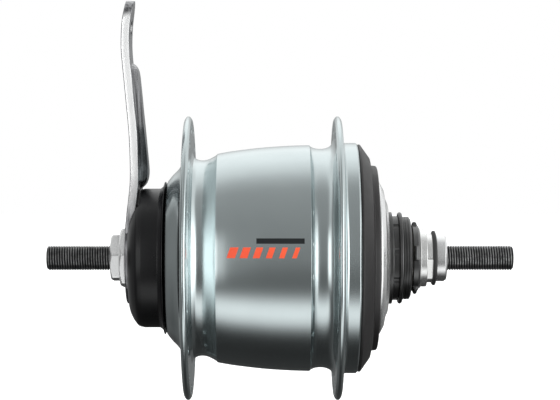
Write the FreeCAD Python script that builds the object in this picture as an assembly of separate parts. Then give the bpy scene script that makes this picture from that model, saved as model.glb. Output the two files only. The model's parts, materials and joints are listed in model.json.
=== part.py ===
import FreeCAD, Part
import math
import os

# Internal-gear bicycle rear hub with a back-pedal brake.
# Millimetres.  The axle lies on X and +X is the drive side, +Z is up along the brake arm.
# The origin is on the axle's centre line, midway between the outer faces of the two locknuts.

# ---- driving dimensions ---------------------------------------------------------------------
DROPOUT_WIDTH = 132.0          # across the outer faces of the locknuts
AXLE_LEFT_END = -91.4
AXLE_RIGHT_END = 92.6
AXLE_R = 5.0                   # M10 x 1 thread, outside
AXLE_FLATS = 9.4               # across the two flats that key into the frame
AXLE_GEAR_R = 6.5              # plain middle, where the sun gears turn
AXLE_GEAR_X = (-22.0, 26.4)
LOCKNUT_LEFT_X = -DROPOUT_WIDTH / 2
LOCKNUT_RIGHT_X = DROPOUT_WIDTH / 2
THREAD_RELIEF = 0.3            # the full thread ends this far outside each locknut
FREE_LEFT_X = LOCKNUT_LEFT_X - THREAD_RELIEF
FREE_RIGHT_X = LOCKNUT_RIGHT_X + THREAD_RELIEF

FLANGE_R = 55.9
FLANGE_THICK = 2.8
FLANGE_LEFT_X = -35.4
FLANGE_RIGHT_X = 23.2
SPOKE_COUNT = 18               # in each flange
SPOKE_PCD_LEFT = 102.6
SPOKE_PCD_RIGHT = 101.4
SPOKE_HOLE_R = 1.45

MODULE = 1.0
PRESSURE = math.radians(25)
ADDENDUM = 0.8                 # stub teeth
DEDENDUM = 1.05
BACKLASH = 0.14                # taken off the tooth thickness, at the pitch circle
RUN = 0.05                     # radial clearance of a running fit
AXLE_SEAT_R = 4.7              # the axle where nuts and cones are screwed on, at the thread's pitch size
SEAT_BORE = AXLE_SEAT_R + 0.02

RING_TEETH = 60
LOW_PLANET = (22, 11)          # teeth of the stepped planets of the reduction stage
LOW_SUN = 27
HIGH_PLANET = (24, 18, 14)     # teeth of the stepped planets of the step-up stage
HIGH_SUNS = (18, 24, 28)
LOW_CENTRES = MODULE * (LOW_PLANET[1] + LOW_SUN) / 2
HIGH_CENTRES = MODULE * (HIGH_PLANET[0] + HIGH_SUNS[0]) / 2
LOW_AZIMUTH = 60.0             # the reduction planets stand between the step-up planets
HIGH_STEPS_X = ((-0.7, 6.0), (-7.7, -1.3), (-14.0, -8.3))
LOW_STEPS_X = ((16.5, 23.0), (10.0, 16.0))
PLANETS = 3
PIN_LOW_R = 2.0
PIN_HIGH_R = 2.5

SHELL_BORE = 38.0
CLUTCH_RACE_R = 37.1
RING_OUTER_R = 34.0
DRUM_OUTER_R = 35.2
DRUM_R = 33.1
SHOE_R = 32.7

V = FreeCAD.Vector
ORIGIN = V(0, 0, 0)
AXIS = V(1, 0, 0)
TINY = 1e-6


# ---- shape helpers ---------------------------------------------------------------------------
def edges_of(segments, place):
    """Edges of a closed outline.  A segment is (kind, point, ...) with kind line, arc or curve."""
    edges = []
    first = None
    last = None
    for kind, *points in segments:
        points = [place(p) for p in points]
        if first is None:
            first = points[0]
        elif (points[0] - last).Length > TINY:
            edges.append(Part.makeLine(last, points[0]))
        if kind == "arc":
            edges.append(Part.Arc(*points).toShape())
        elif kind == "curve":
            curve = Part.BSplineCurve()
            curve.interpolate(points)
            edges.append(curve.toShape())
        else:
            edges += [Part.makeLine(a, b) for a, b in zip(points, points[1:])]
        last = points[-1]
    if (first - last).Length > TINY:
        edges.append(Part.makeLine(last, first))
    return edges


def turned(*segments):
    """Solid of revolution about the axle from an outline of (x, radius) points."""
    wire = Part.Wire(edges_of(segments, lambda p: V(p[0], 0, p[1])))
    return Part.Face(wire).revolve(ORIGIN, AXIS, 360)


def rod(x0, x1, radius, y=0.0, z=0.0):
    return Part.makeCylinder(radius, x1 - x0, V(x0, y, z), AXIS)


def tube(x0, x1, inner, outer):
    return rod(x0, x1, outer).cut(rod(x0 - 1, x1 + 1, inner))


def sector(x0, x1, inner, outer, start, end):
    """Part of a tube between two angles in degrees, turning from +Y towards +Z."""
    corners = [V(x0, inner, 0), V(x1, inner, 0), V(x1, outer, 0), V(x0, outer, 0), V(x0, inner, 0)]
    piece = Part.Face(Part.makePolygon(corners)).revolve(ORIGIN, AXIS, end - start)
    piece.rotate(ORIGIN, AXIS, start)
    return piece


def turn(shape, degrees, about=ORIGIN):
    copy = shape.copy()
    copy.rotate(about, AXIS, degrees)
    return copy


def around(shape, count, start=0.0):
    """Copies of a shape spaced evenly about the axle."""
    return [turn(shape, start + 360.0 * i / count) for i in range(count)]


def polar(radius, degrees, x=0.0):
    angle = math.radians(degrees)
    return V(x, radius * math.cos(angle), radius * math.sin(angle))


def prism(points, x0, x1):
    """Straight-sided bar along X from (radius, degrees) corners."""
    corners = [polar(r, a, x0) for r, a in points]
    return Part.Face(Part.makePolygon(corners + corners[:1])).extrude(V(x1 - x0, 0, 0))


def hexagon(across_flats, x0, x1, corner_angle, chamfer_face):
    """Hexagonal nut blank whose corners are turned off at one end."""
    corner_r = across_flats / math.sqrt(3)
    body = prism([(corner_r, corner_angle + 60 * i) for i in range(6)], x0, x1)
    land = across_flats / 2 * 0.97
    slope = (corner_r - land) * 0.55
    near, far = (x0, x1) if chamfer_face < 0 else (x1, x0)
    inward = slope if chamfer_face < 0 else -slope
    outline = ("line", (near, 0), (near, land), (near + inward, corner_r), (far, corner_r), (far, 0))
    return body.common(turned(outline))


# ---- involute teeth --------------------------------------------------------------------------
def involute(angle):
    return math.tan(angle) - angle


def toothed(teeth, tip_r, root_r, thinning, x0, x1):
    """Bar with involute teeth, one of them centred on +Y."""
    pitch_r = MODULE * teeth / 2
    base_r = pitch_r * math.cos(PRESSURE)
    half_pitch = math.pi / (2 * teeth) - thinning / (2 * pitch_r)

    def half_angle(radius):
        pressure_here = math.acos(min(1.0, base_r / radius))
        return half_pitch + involute(PRESSURE) - involute(pressure_here)

    start_r = max(root_r, base_r)
    steps = [start_r + (tip_r - start_r) * i / 4 for i in range(5)]
    edges = []
    for tooth in range(teeth):
        centre = 2 * math.pi * tooth / teeth
        following = centre + 2 * math.pi / teeth

        def at(radius, angle):
            return V(x0, radius * math.cos(angle), radius * math.sin(angle))

        rising = [at(r, centre - half_angle(r)) for r in steps]
        falling = [at(r, centre + half_angle(r)) for r in reversed(steps)]
        foot = half_angle(start_r)
        if root_r < start_r - TINY:
            edges.append(Part.makeLine(at(root_r, centre - foot), rising[0]))
        for flank in (rising, falling):
            curve = Part.BSplineCurve()
            curve.interpolate(flank)
            edges.append(curve.toShape())
            if flank is rising:
                edges.append(Part.Arc(rising[-1], at(tip_r, centre), falling[0]).toShape())
        if root_r < start_r - TINY:
            edges.append(Part.makeLine(falling[-1], at(root_r, centre + foot)))
        gap_start = at(root_r, centre + foot)
        gap_middle = at(root_r, (centre + following) / 2)
        gap_end = at(root_r, following - foot)
        edges.append(Part.Arc(gap_start, gap_middle, gap_end).toShape())
    return Part.Face(Part.Wire(edges)).extrude(V(x1 - x0, 0, 0))


def gear(teeth, x0, x1, tooth_at=0.0):
    pitch_r = MODULE * teeth / 2
    blank = toothed(teeth, pitch_r + ADDENDUM, pitch_r - DEDENDUM, BACKLASH, x0, x1)
    return turn(blank, tooth_at)


def ring_teeth(x0, x1):
    """The hollow of an internal gear, with a tooth space centred on +Y."""
    pitch_r = MODULE * RING_TEETH / 2
    return toothed(RING_TEETH, pitch_r + DEDENDUM, pitch_r - ADDENDUM, -BACKLASH, x0, x1)


def half_tooth(teeth):
    return 180.0 / teeth


# ---- axle, locknuts and brake arm --------------------------------------------------------------
PAWL_PIVOT = (5.3, 0.9)        # radius of the pivot's centre line, and of the pivot itself
PAWL_SWING = 14.0              # degrees between engaged and drawn in
PAWL_X = {1: (11.5, 14.5), 2: (0.6, 3.6), 3: (-6.2, -3.2), 4: (-12.8, -9.8)}
PAWL_ENGAGED = {1: True, 2: False, 3: False, 4: True}
RATCHET_TEETH = 6


def axle():
    end = 1.3
    bar = turned(
        ("line", (AXLE_LEFT_END, 0)),
        ("arc", (AXLE_LEFT_END, AXLE_R - end), (AXLE_LEFT_END + 0.3 * end, AXLE_R - 0.3 * end),
         (AXLE_LEFT_END + end, AXLE_R)),
        ("line", (FREE_LEFT_X, AXLE_R), (FREE_LEFT_X, AXLE_SEAT_R), (AXLE_GEAR_X[0], AXLE_SEAT_R),
         (AXLE_GEAR_X[0], AXLE_GEAR_R), (AXLE_GEAR_X[1], AXLE_GEAR_R), (AXLE_GEAR_X[1], AXLE_SEAT_R),
         (FREE_RIGHT_X, AXLE_SEAT_R), (FREE_RIGHT_X, AXLE_R)),
        ("arc", (AXLE_RIGHT_END - end, AXLE_R), (AXLE_RIGHT_END - 0.3 * end, AXLE_R - 0.3 * end),
         (AXLE_RIGHT_END, AXLE_R - end)),
        ("line", (AXLE_RIGHT_END, 0)),
    )
    flat_angle = -135.0
    for x0, x1 in ((AXLE_LEFT_END - 1, FREE_LEFT_X), (FREE_RIGHT_X, AXLE_RIGHT_END + 1)):
        for side in (0.0, 180.0):
            slab = Part.makeBox(x1 - x0, 3.0, 12.0, V(x0, AXLE_FLATS / 2, -6.0))
            bar = bar.cut(turn(slab, flat_angle + side))
    for x0, x1 in PAWL_X.values():
        bar = bar.cut(sector(x0 - 0.2, x1 + 0.2, 3.3, 8.0, -12.0, 60.0))
    return bar


def locknut(x0, x1, outer_face, blank):
    bore = rod(x0 - 1, x1 + 1, SEAT_BORE)
    sink = 0.7
    mouth = x0 if outer_face < 0 else x1
    inward = sink if outer_face < 0 else -sink
    outline = ("line", (mouth, 0), (mouth, AXLE_R + sink), (mouth + inward, AXLE_R), (mouth + inward, 0))
    return blank.cut(bore).cut(turned(outline))


NUT_CORNER = -129.2            # first corner, degrees from +Y, seen along the axle
LEFT_NUT_X = (LOCKNUT_LEFT_X, -62.3)
ARM_NUT_X = (-62.3, -59.6)


def left_locknut():
    return locknut(*LEFT_NUT_X, -1, hexagon(17.0, *LEFT_NUT_X, NUT_CORNER, -1))


def brake_arm_nut():
    blank = hexagon(22.0, *ARM_NUT_X, NUT_CORNER + 0.8, -1)
    return blank.cut(rod(ARM_NUT_X[0] - 1, ARM_NUT_X[1] + 1, SEAT_BORE))


ARM_THICK = 3.4
ARM_FACE_X = ARM_NUT_X[1]
ARM_BACK_X = ARM_FACE_X + ARM_THICK
ARM_FOOT_R = 18.0
ARM_NUT_AREA_R = 13.0          # both faces stay flat inside this radius
ARM_FOOT_HALF = 17.5           # half width of the strip, at the axle's height
ARM_TIP_Z = 101.5
ARM_TIP_HALF = 8.5
ARM_HOLE_Z = 91.0
ARM_HOLE_R = 3.25
RIB_HALF = 8.2
RIB_DRAFT = 3.2                # how far each flank leans in between foot and crest
RIB_TOP_Z = 77.0
RIB_FOOT_Z = 26.9


def arm_strip():
    """The arm's edge-on outline: up from the foot, in over the cap, then leaning out."""
    left = [(-59.5, 11.0), (-59.0, 16.7), (-58.25, 23.7), (-57.75, 30.5), (-57.95, 40.0), (-58.5, 50.0),
            (-59.5, 60.0), (-60.6, 71.0), (-61.5, 80.0), (-61.7, 86.0), (-61.3, 93.3), (-60.1, ARM_TIP_Z)]
    right = [(x + ARM_THICK, z) for x, z in reversed(left)]

    def place(p):
        return V(p[0], -30.0, p[1])

    wire = Part.Wire(edges_of((("curve", *left), ("curve", *right)), place))
    return Part.Face(wire).extrude(V(0, 60.0, 0))


def arm_front():
    """The arm's outline seen along the axle: wide at the hub, round at the tip."""
    tip_z = ARM_TIP_Z - ARM_TIP_HALF
    right_side = [(ARM_FOOT_HALF, 0.0), (15.8, 22.0), (12.6, 40.0), (11.0, 58.0), (9.8, 76.0)]
    right_side.append((ARM_TIP_HALF, tip_z))
    left_side = [(-y, z) for y, z in right_side]

    def place(p):
        return V(-75.0, p[0], p[1])

    sides = (
        ("curve", *left_side),
        ("arc", left_side[-1], (0.0, ARM_TIP_Z), right_side[-1]),
        ("curve", *reversed(right_side)),
    )
    return Part.Face(Part.Wire(edges_of(sides, place))).extrude(V(30.0, 0, 0))


def arm_rib(half_width, shift):
    """Long pressed swelling on the hub side of the arm, steep at its upper end."""
    crest = [(-57.4, RIB_TOP_Z), (-55.9, 75.7), (-55.0, 73.3), (-54.4, 68.5), (-53.55, 59.9), (-52.75, 52.0),
             (-51.9, 43.5), (-51.3, 37.0), (-51.15, 33.8), (-51.6, 31.0), (-52.7, 28.8), (-54.8, RIB_FOOT_Z)]
    crest = [(x + shift, z) for x, z in crest]
    foot_x = -58.5
    crest_x = -51.0

    def place(p):
        return V(p[0], 0, p[1])

    foot = ("line", (foot_x, RIB_FOOT_Z), (foot_x, RIB_TOP_Z))
    wire = Part.Wire(edges_of((("curve", *crest), foot), place))
    bar = Part.Face(wire).extrude(V(0, half_width, 0))
    bar = bar.fuse(Part.Face(wire).extrude(V(0, -half_width, 0)))
    crest_half = half_width - RIB_DRAFT
    corners = [(foot_x, -half_width), (crest_x, -crest_half), (crest_x, crest_half), (foot_x, half_width)]
    section = [V(x, y, 0) for x, y in corners + corners[:1]]
    wedge = Part.Face(Part.makePolygon(section)).extrude(V(0, 0, 110))
    return bar.common(wedge)


def arm_channel():
    """Room behind the rib, open on the arm's outer face."""
    return Part.makeBox(12.0, 12.4, 43.0, V(-62.0, -6.2, 30.5))


def brake_arm():
    foot = tube(ARM_FACE_X, ARM_BACK_X, SEAT_BORE, ARM_FOOT_R)
    strip = arm_strip().common(arm_front()).cut(rod(-75, -40, ARM_NUT_AREA_R))
    arm = strip.fuse(arm_rib(RIB_HALF, 0)).cut(arm_rib(RIB_HALF - 2.0, -1.9).common(arm_channel()))
    arm = arm.fuse(foot).removeSplitter()
    clip_hole = rod(-75, -50, ARM_HOLE_R, 0, ARM_HOLE_Z)
    return arm.cut(clip_hole)


CAP_GAP = 0.2                  # round the arm's foot, in the cap's recess
CAP_WALL = 1.6
CAP_R = 27.4
CAP_BORE = 12.1
CAP_CHANNEL_X = -54.0          # floor of the recess that the arm rises through


def left_dust_cap():
    """Fixed domed cap over the brake end, recessed for the arm, with a lip that runs beside the shell."""
    recess_r = ARM_FOOT_R + CAP_GAP
    recess_x = ARM_BACK_X + CAP_GAP / 2
    dome = [(-58.6, recess_r), (-58.4, 20.2), (-57.9, 22.0), (-57.0, 23.9), (-55.8, 25.7), (-54.7, 26.8)]
    dome.append((-52.6, CAP_R))
    blank = turned(
        ("line", (recess_x, CAP_BORE), (recess_x, recess_r), dome[0]),
        ("curve", *dome),
        ("line", (-46.3, CAP_R)),
        ("arc", (-46.3, CAP_R), (-45.4, 28.0), (-44.9, 29.9)),
        ("line", (-44.3, 30.2), (-45.0, 27.7), (-46.6, CAP_R - CAP_WALL), (-46.6, CAP_BORE)),
    )
    inner_x = recess_x + CAP_WALL
    hollow = turned(
        ("line", (inner_x, 0), (inner_x, 21.0), (-54.0, 24.0), (-51.8, CAP_R - CAP_WALL)),
        ("line", (-40.0, CAP_R - CAP_WALL), (-40.0, 0)),
    )
    half = ARM_FOOT_HALF + CAP_GAP
    start_x = CAP_CHANNEL_X - 10.0
    channel = Part.makeBox(10.0, 2 * half, 30.0, V(start_x, -half, 5.0))
    backing = Part.makeBox(10.0 + CAP_WALL, 2 * (half + CAP_WALL), 30.0, V(start_x, -half - CAP_WALL, 0))
    return blank.cut(hollow.cut(backing)).cut(channel)


# ---- brake -----------------------------------------------------------------------------------
LEFT_BALLS = (-41.5, 16.0, 3.175, 12)     # centre x, pitch radius, ball radius, count
CONE_R = 14.5
SHOE_X = (-35.4, -25.0)
SHOE_HALF_ANGLE = 52.0
SHOE_INNER_R = 28.0
SHOES = 3
ROLLER_R = 3.0
CAM_R = 22.0
CAM_LIFT = 0.3
ROLLERS = 6
ROLLER_PITCH_R = CAM_R - CAM_LIFT + 0.1 + ROLLER_R
SPRING_X = (-34.2, -26.2)


def race(balls):
    x, pitch_r, ball_r, _ = balls
    return Part.makeTorus(pitch_r, ball_r + RUN, V(x, 0, 0), AXIS)


def ball_set(balls):
    x, pitch_r, ball_r, count = balls
    return Part.makeCompound(around(Part.makeSphere(ball_r, V(x, pitch_r, 0)), count))


def ball_cage(balls, thick, x0, x1):
    """Crown cage: pockets open at one side of a thin ring."""
    x, pitch_r, ball_r, count = balls
    ring = tube(x0, x1, pitch_r - thick / 2, pitch_r + thick / 2)
    pocket = Part.makeCylinder(ball_r + 0.12, 2 * thick + 2, V(x, pitch_r - thick - 1, 0), V(0, 1, 0))
    for one in around(pocket, count):
        ring = ring.cut(one)
    return ring


def brake_cone():
    """Fixed cone: ball race, reaction flange with keys, and the spigot that the cam turns on."""
    body = turned(
        ("line", (ARM_BACK_X, SEAT_BORE), (ARM_BACK_X, 12.0), (-45.2, 12.0), (-44.4, CONE_R)),
        ("line", (-38.2, CONE_R), (-37.7, 18.0), (-37.7, 32.2), (-36.0, 32.2), (-36.0, CONE_R)),
        ("line", (-22.4, CONE_R), (-22.4, SEAT_BORE)),
    )
    body = body.cut(race(LEFT_BALLS))
    gap_middle = 60.0
    key = Part.makeBox(8.0, 2.5, 6.0, V(-36.2, 28.3, -3.0))
    for one in around(key, SHOES, gap_middle):
        body = body.fuse(one)
    return body.removeSplitter()


def left_bearing_cup():
    return tube(-44.2, -39.0, 17.6, 21.0).cut(race(LEFT_BALLS))


def brake_drum():
    return tube(-36.6, -24.0, DRUM_R, DRUM_OUTER_R)


def brake_shoe(index):
    shoe = sector(*SHOE_X, SHOE_INNER_R, SHOE_R, -SHOE_HALF_ANGLE, SHOE_HALF_ANGLE)
    for x in SPRING_X:
        shoe = shoe.cut(tube(x - 1.0, x + 1.0, 30.9, 33.5))
    slot = sector(SHOE_X[0] - 1, SHOE_X[1] + 1, 31.9, 33.5, -1.5, 1.5)
    for angle in (-32.0, 0.0, 32.0):
        shoe = shoe.cut(turn(slot, angle))
    return turn(shoe, 120.0 * index)


def brake_rollers(index):
    roller = rod(-33.5, -27.0, ROLLER_R, ROLLER_PITCH_R)
    return Part.makeCompound([turn(roller, 120.0 * index - 30.0), turn(roller, 120.0 * index + 30.0)])


def shoe_springs():
    """Split rings that draw the shoes in."""
    rings = []
    for x in SPRING_X:
        rings.append(tube(x - 0.6, x + 0.6, 31.25, 32.1).cut(sector(x - 1, x + 1, 30.0, 33.0, 56.0, 64.0)))
    return Part.makeCompound(rings)


def brake_roller_cage():
    ring = tube(-35.0, -25.5, 23.3, 26.2)
    slot = Part.makeBox(7.4, 8.0, 2 * ROLLER_R + 0.9, V(-33.9, 20.5, -ROLLER_R - 0.45))
    for one in around(slot, ROLLERS, 30.0):
        ring = ring.cut(one)
    return ring


def brake_cam():
    """Six shallow lobes: a turn of 15 degrees lifts every roller by the cam's lift."""
    points = []
    count = 72
    for i in range(count):
        angle = 360.0 * i / count
        radius = CAM_R - CAM_LIFT * math.cos(math.radians(6 * (angle - 30.0)))
        points.append(polar(radius, angle, -34.5))
    outline = Part.BSplineCurve()
    outline.interpolate(points, PeriodicFlag=True)
    blank = Part.Face(Part.Wire([outline.toShape()])).extrude(V(8.5, 0, 0))
    cam = blank.cut(rod(-40, -20, CONE_R + RUN))
    for key in around(Part.makeBox(4.0, 3.0, 5.0, V(-26.2, 16.6, -2.5)), 3, 30.0):
        cam = cam.fuse(key)
    return cam.removeSplitter()


# ---- shell -----------------------------------------------------------------------------------
def flange_edges(x, foot_left, foot_right):
    """The two sides and the round rim of a spoke flange, from left foot to right foot."""
    half = FLANGE_THICK / 2
    shoulder = FLANGE_R - half
    return (
        ("line", foot_left, (x - half, foot_left[1] + 2.2), (x - half, shoulder)),
        ("arc", (x - half, shoulder), (x, FLANGE_R), (x + half, shoulder)),
        ("line", (x + half, shoulder), (x + half, foot_right[1] + 2.2), foot_right),
    )


RIM_X = (25.6, 31.0)
RIM_R = 45.4


def hub_shell():
    outside = (
        ("line", (-44.6, 21.0), (-44.6, 27.9)),
        ("curve", (-44.6, 27.9), (-43.5, 30.3), (-42.4, 31.7), (-41.2, 33.1), (-39.5, 34.8), (-38.0, 37.0)),
        *flange_edges(FLANGE_LEFT_X, (-38.0, 37.0), (-32.8, 39.6)),
        ("curve", (-32.8, 39.6), (-31.2, 38.7), (-29.6, 38.55), (-27.6, 38.95), (-25.4, 40.0),
         (-24.3, 40.75)),
        ("line", (-24.3, 40.75), (-23.8, 41.2)),
        ("curve", (-23.8, 41.2), (-19.0, 42.05), (-12.6, 42.9), (-6.3, 43.6), (0.0, 44.07), (6.3, 44.4),
         (12.0, 44.55)),
        ("line", (12.7, 44.0)),
        ("curve", (12.7, 44.0), (14.2, 43.35), (16.2, 43.1), (18.6, 43.35), (20.6, 44.3)),
        *flange_edges(FLANGE_RIGHT_X, (20.6, 44.3), (RIM_X[0], RIM_R)),
        ("line", (RIM_X[0], RIM_R), (RIM_X[1] - 0.7, RIM_R), (RIM_X[1], RIM_R - 0.7)),
    )
    inside = (
        ("line", (RIM_X[1], 41.5), (25.0, 41.5), (24.2, SHELL_BORE), (-10.0, SHELL_BORE)),
        ("line", (-10.0, CLUTCH_RACE_R), (-19.0, CLUTCH_RACE_R), (-20.0, DRUM_OUTER_R)),
        ("line", (-36.6, DRUM_OUTER_R), (-36.6, DRUM_R), (-38.2, DRUM_R - 0.6), (-38.6, 21.0)),
    )
    shell = turned(*outside, *inside)
    hole_left = rod(FLANGE_LEFT_X - 4, FLANGE_LEFT_X + 4, SPOKE_HOLE_R, SPOKE_PCD_LEFT / 2)
    hole_right = rod(FLANGE_RIGHT_X - 4, FLANGE_RIGHT_X + 4, SPOKE_HOLE_R, SPOKE_PCD_RIGHT / 2)
    holes = around(hole_left, SPOKE_COUNT) + around(hole_right, SPOKE_COUNT, half_tooth(SPOKE_COUNT))
    return shell.cut(Part.makeCompound(holes))


# ---- gear train ------------------------------------------------------------------------------
def sun(teeth, x0, x1, tooth_at, number):
    """Sun gear with a ratchet recess, where its pawl can lock it to the axle."""
    wheel = gear(teeth, x0, x1, tooth_at).cut(rod(x0 - 1, x1 + 1, AXLE_GEAR_R + RUN))
    pawl_x0, pawl_x1 = PAWL_X[number]
    recess = sector(pawl_x0 - 0.3, pawl_x1 + 0.3, 6.0, 7.25, 28.0, 50.0)
    return wheel.cut(Part.makeCompound(around(recess, RATCHET_TEETH)))


def sun_gear(number):
    if number == 1:
        return turn(sun(LOW_SUN, *LOW_STEPS_X[1], 0.0, number), LOW_AZIMUTH)
    step = number - 2
    teeth = HIGH_SUNS[step]
    tooth_at = half_tooth(teeth) if step == 1 else 0.0
    return sun(teeth, *HIGH_STEPS_X[step], tooth_at, number)


def sun_pawl(number):
    """Small lever in an axle pocket, its nose out in the sun's recess or drawn in."""
    x0, x1 = PAWL_X[number]
    pivot_r, eye_r = PAWL_PIVOT
    lever = prism([(pivot_r + 0.8, 0.0), (6.35, 20.0), (7.0, 38.0), (7.05, 43.0), (6.3, 46.0), (4.9, 42.0),
                   (4.6, 20.0), (pivot_r - 0.8, 0.0)], x0, x1)
    pawl = lever.fuse(rod(x0, x1, eye_r, pivot_r)).removeSplitter()
    if not PAWL_ENGAGED[number]:
        pawl = turn(pawl, PAWL_SWING, V(0, pivot_r, 0))
    return pawl


def low_planet(index):
    """Stepped planet of the reduction stage; its large step meshes with the driven ring."""
    large = gear(LOW_PLANET[0], *LOW_STEPS_X[0])
    small = gear(LOW_PLANET[1], *LOW_STEPS_X[1])
    wheel = large.fuse(small).fuse(rod(LOW_STEPS_X[1][0], LOW_STEPS_X[0][1], 4.2))
    wheel = wheel.cut(rod(0, 30, PIN_LOW_R + RUN))
    wheel.translate(V(0, LOW_CENTRES, 0))
    return turn(wheel, LOW_AZIMUTH + 120.0 * index)


def high_planet(index):
    """Stepped planet of the step-up stage, phased so that all three mesh with the 28-tooth sun."""
    steps = [gear(teeth, *span) for teeth, span in zip(HIGH_PLANET, HIGH_STEPS_X)]
    steps[0] = turn(steps[0], half_tooth(HIGH_PLANET[0]))
    steps[2] = turn(steps[2], half_tooth(HIGH_PLANET[2]))
    wheel = steps[0].fuse(steps[1]).fuse(steps[2]).fuse(rod(HIGH_STEPS_X[2][0], HIGH_STEPS_X[0][1], 5.4))
    wheel = wheel.cut(rod(-20, 20, PIN_HIGH_R + RUN))
    wheel = turn(wheel, 60.0 * index)
    wheel.translate(V(0, HIGH_CENTRES, 0))
    return turn(wheel, 120.0 * index)


PLATE_LEFT_X = (-17.6, -14.5)
PLATE_MIDDLE_X = (6.5, 9.5)
PLATE_RIGHT_X = (23.4, 26.0)
PILLAR_R = 3.4
PILLAR_AT = 23.0


def pin_holes(x0, x1, radius, centres, azimuth):
    return around(rod(x0, x1, radius, centres), PLANETS, azimuth)


def carrier_left():
    plate = tube(*PLATE_LEFT_X, AXLE_GEAR_R + RUN, 27.0)
    for pillar in around(rod(PLATE_LEFT_X[0], PLATE_MIDDLE_X[0], PILLAR_R, PILLAR_AT), PLANETS, 60.0):
        plate = plate.fuse(pillar)
    for hole in pin_holes(-20, 0, PIN_HIGH_R, HIGH_CENTRES, 0.0):
        plate = plate.cut(hole)
    # three dogs reach towards the brake cam
    for dog in around(Part.makeBox(3.0, 3.0, 5.0, V(-20.4, 16.6, -2.5)), 3, 30.0):
        plate = plate.fuse(dog)
    return plate.removeSplitter()


def carrier_middle():
    plate = tube(*PLATE_MIDDLE_X, AXLE_GEAR_R + RUN, 27.0)
    for hole in pin_holes(0, 20, PIN_HIGH_R, HIGH_CENTRES, 0.0):
        plate = plate.cut(hole)
    for hole in pin_holes(0, 20, PIN_LOW_R, LOW_CENTRES, LOW_AZIMUTH):
        plate = plate.cut(hole)
    return plate


def carrier_right():
    plate = tube(*PLATE_RIGHT_X, AXLE_GEAR_R + RUN, 28.4)
    for pillar in around(rod(PLATE_MIDDLE_X[1], PLATE_RIGHT_X[1], PILLAR_R, PILLAR_AT), PLANETS, 0.0):
        plate = plate.fuse(pillar)
    for hole in pin_holes(20, 30, PIN_LOW_R, LOW_CENTRES, LOW_AZIMUTH):
        plate = plate.cut(hole)
    return plate.removeSplitter()


def pins_low():
    pin = rod(PLATE_MIDDLE_X[0], PLATE_RIGHT_X[1], PIN_LOW_R, LOW_CENTRES)
    return Part.makeCompound(around(pin, PLANETS, LOW_AZIMUTH))


def pins_high():
    pin = rod(PLATE_LEFT_X[0], PLATE_MIDDLE_X[1], PIN_HIGH_R, HIGH_CENTRES)
    return Part.makeCompound(around(pin, PLANETS, 0.0))


RING_1_RACE = (28.3, 36.4, 2.0, 44)
RING_1_SLEEVE_R = 31.5


def ring_gear_1():
    """Driven ring: teeth on the left, then the sleeve that carries the large ball race."""
    ring = turned(
        ("line", (16.2, 20.0), (16.2, RING_OUTER_R), (24.0, RING_OUTER_R), (24.6, 35.2), (33.0, 35.2)),
        ("line", (33.0, RING_1_SLEEVE_R), (23.3, RING_1_SLEEVE_R), (23.3, 20.0)),
    )
    ring = ring.cut(ring_teeth(16.0, 23.4))
    return ring.cut(race(RING_1_RACE))


CLUTCH_ROLLERS = 12
CLUTCH_ROLLER_R = 1.5


def ring_gear_2():
    """Output ring: teeth on the right, then a drum that the clutch rollers ride on."""
    ring = turned(
        ("line", (-18.8, 31.6), (-18.8, RING_OUTER_R), (-1.3, RING_OUTER_R), (-1.3, 20.0)),
        ("line", (-7.8, 20.0), (-7.8, 31.6)),
    )
    return ring.cut(ring_teeth(-7.9, -1.2))


def clutch_rollers():
    roller = rod(-17.2, -11.6, CLUTCH_ROLLER_R, RING_OUTER_R + 0.02 + CLUTCH_ROLLER_R)
    return Part.makeCompound(around(roller, CLUTCH_ROLLERS))


def clutch_cage():
    ring = tube(-18.6, -10.2, RING_OUTER_R + 0.3, RING_OUTER_R + 2.5)
    slot = Part.makeBox(6.0, 6.0, 2 * CLUTCH_ROLLER_R + 0.2, V(-17.4, 32.5, -CLUTCH_ROLLER_R - 0.1))
    return ring.cut(Part.makeCompound(around(slot, CLUTCH_ROLLERS)))


# ---- drive side ------------------------------------------------------------------------------
DRIVER_BALLS = (46.6, 12.6, 1.75, 16)
DRIVER_R = 16.3
DRIVER_SEAT_R = 16.6
DRIVER_SHOULDER_R = 18.1
SNAP_X = (47.0, 48.6)
SPLINES = 9


def driver():
    """Sprocket carrier: a flange in the driven ring and a tube with the sprocket seat."""
    body = turned(
        ("line", (30.2, 8.6), (30.2, RING_1_SLEEVE_R), (33.0, RING_1_SLEEVE_R), (33.0, 17.5), (43.2, 17.5)),
        ("line", (43.2, DRIVER_SHOULDER_R), (44.6, DRIVER_SHOULDER_R), (44.6, DRIVER_SEAT_R)),
        ("line", (SNAP_X[0], DRIVER_SEAT_R), (SNAP_X[0], 15.6), (SNAP_X[1], 15.6), (SNAP_X[1], DRIVER_R)),
        ("curve", (51.2, DRIVER_R), (51.6, 15.9), (51.9, 15.0), (52.0, 14.2)),
        ("line", (52.0, 14.2), (43.0, 14.2), (42.0, 8.6)),
    )
    body = body.cut(race(DRIVER_BALLS))
    groove = rod(44.6, SNAP_X[0], 1.1, DRIVER_SEAT_R + 0.5)
    return body.cut(Part.makeCompound(around(groove, SPLINES, 10.0)))


def snap_ring():
    """Round-section ring with a gap, sprung into the driver's groove."""
    x0, x1 = SNAP_X
    crown = 18.05
    ring = turned(("line", (x0, 15.65), (x0, crown - 0.5)),
                  ("arc", (x0, crown - 0.5), ((x0 + x1) / 2, crown), (x1, crown - 0.5)),
                  ("line", (x1, 15.65)))
    return ring.cut(sector(x0 - 1, x1 + 1, 14.0, 20.0, 22.0, 40.0))


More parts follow.
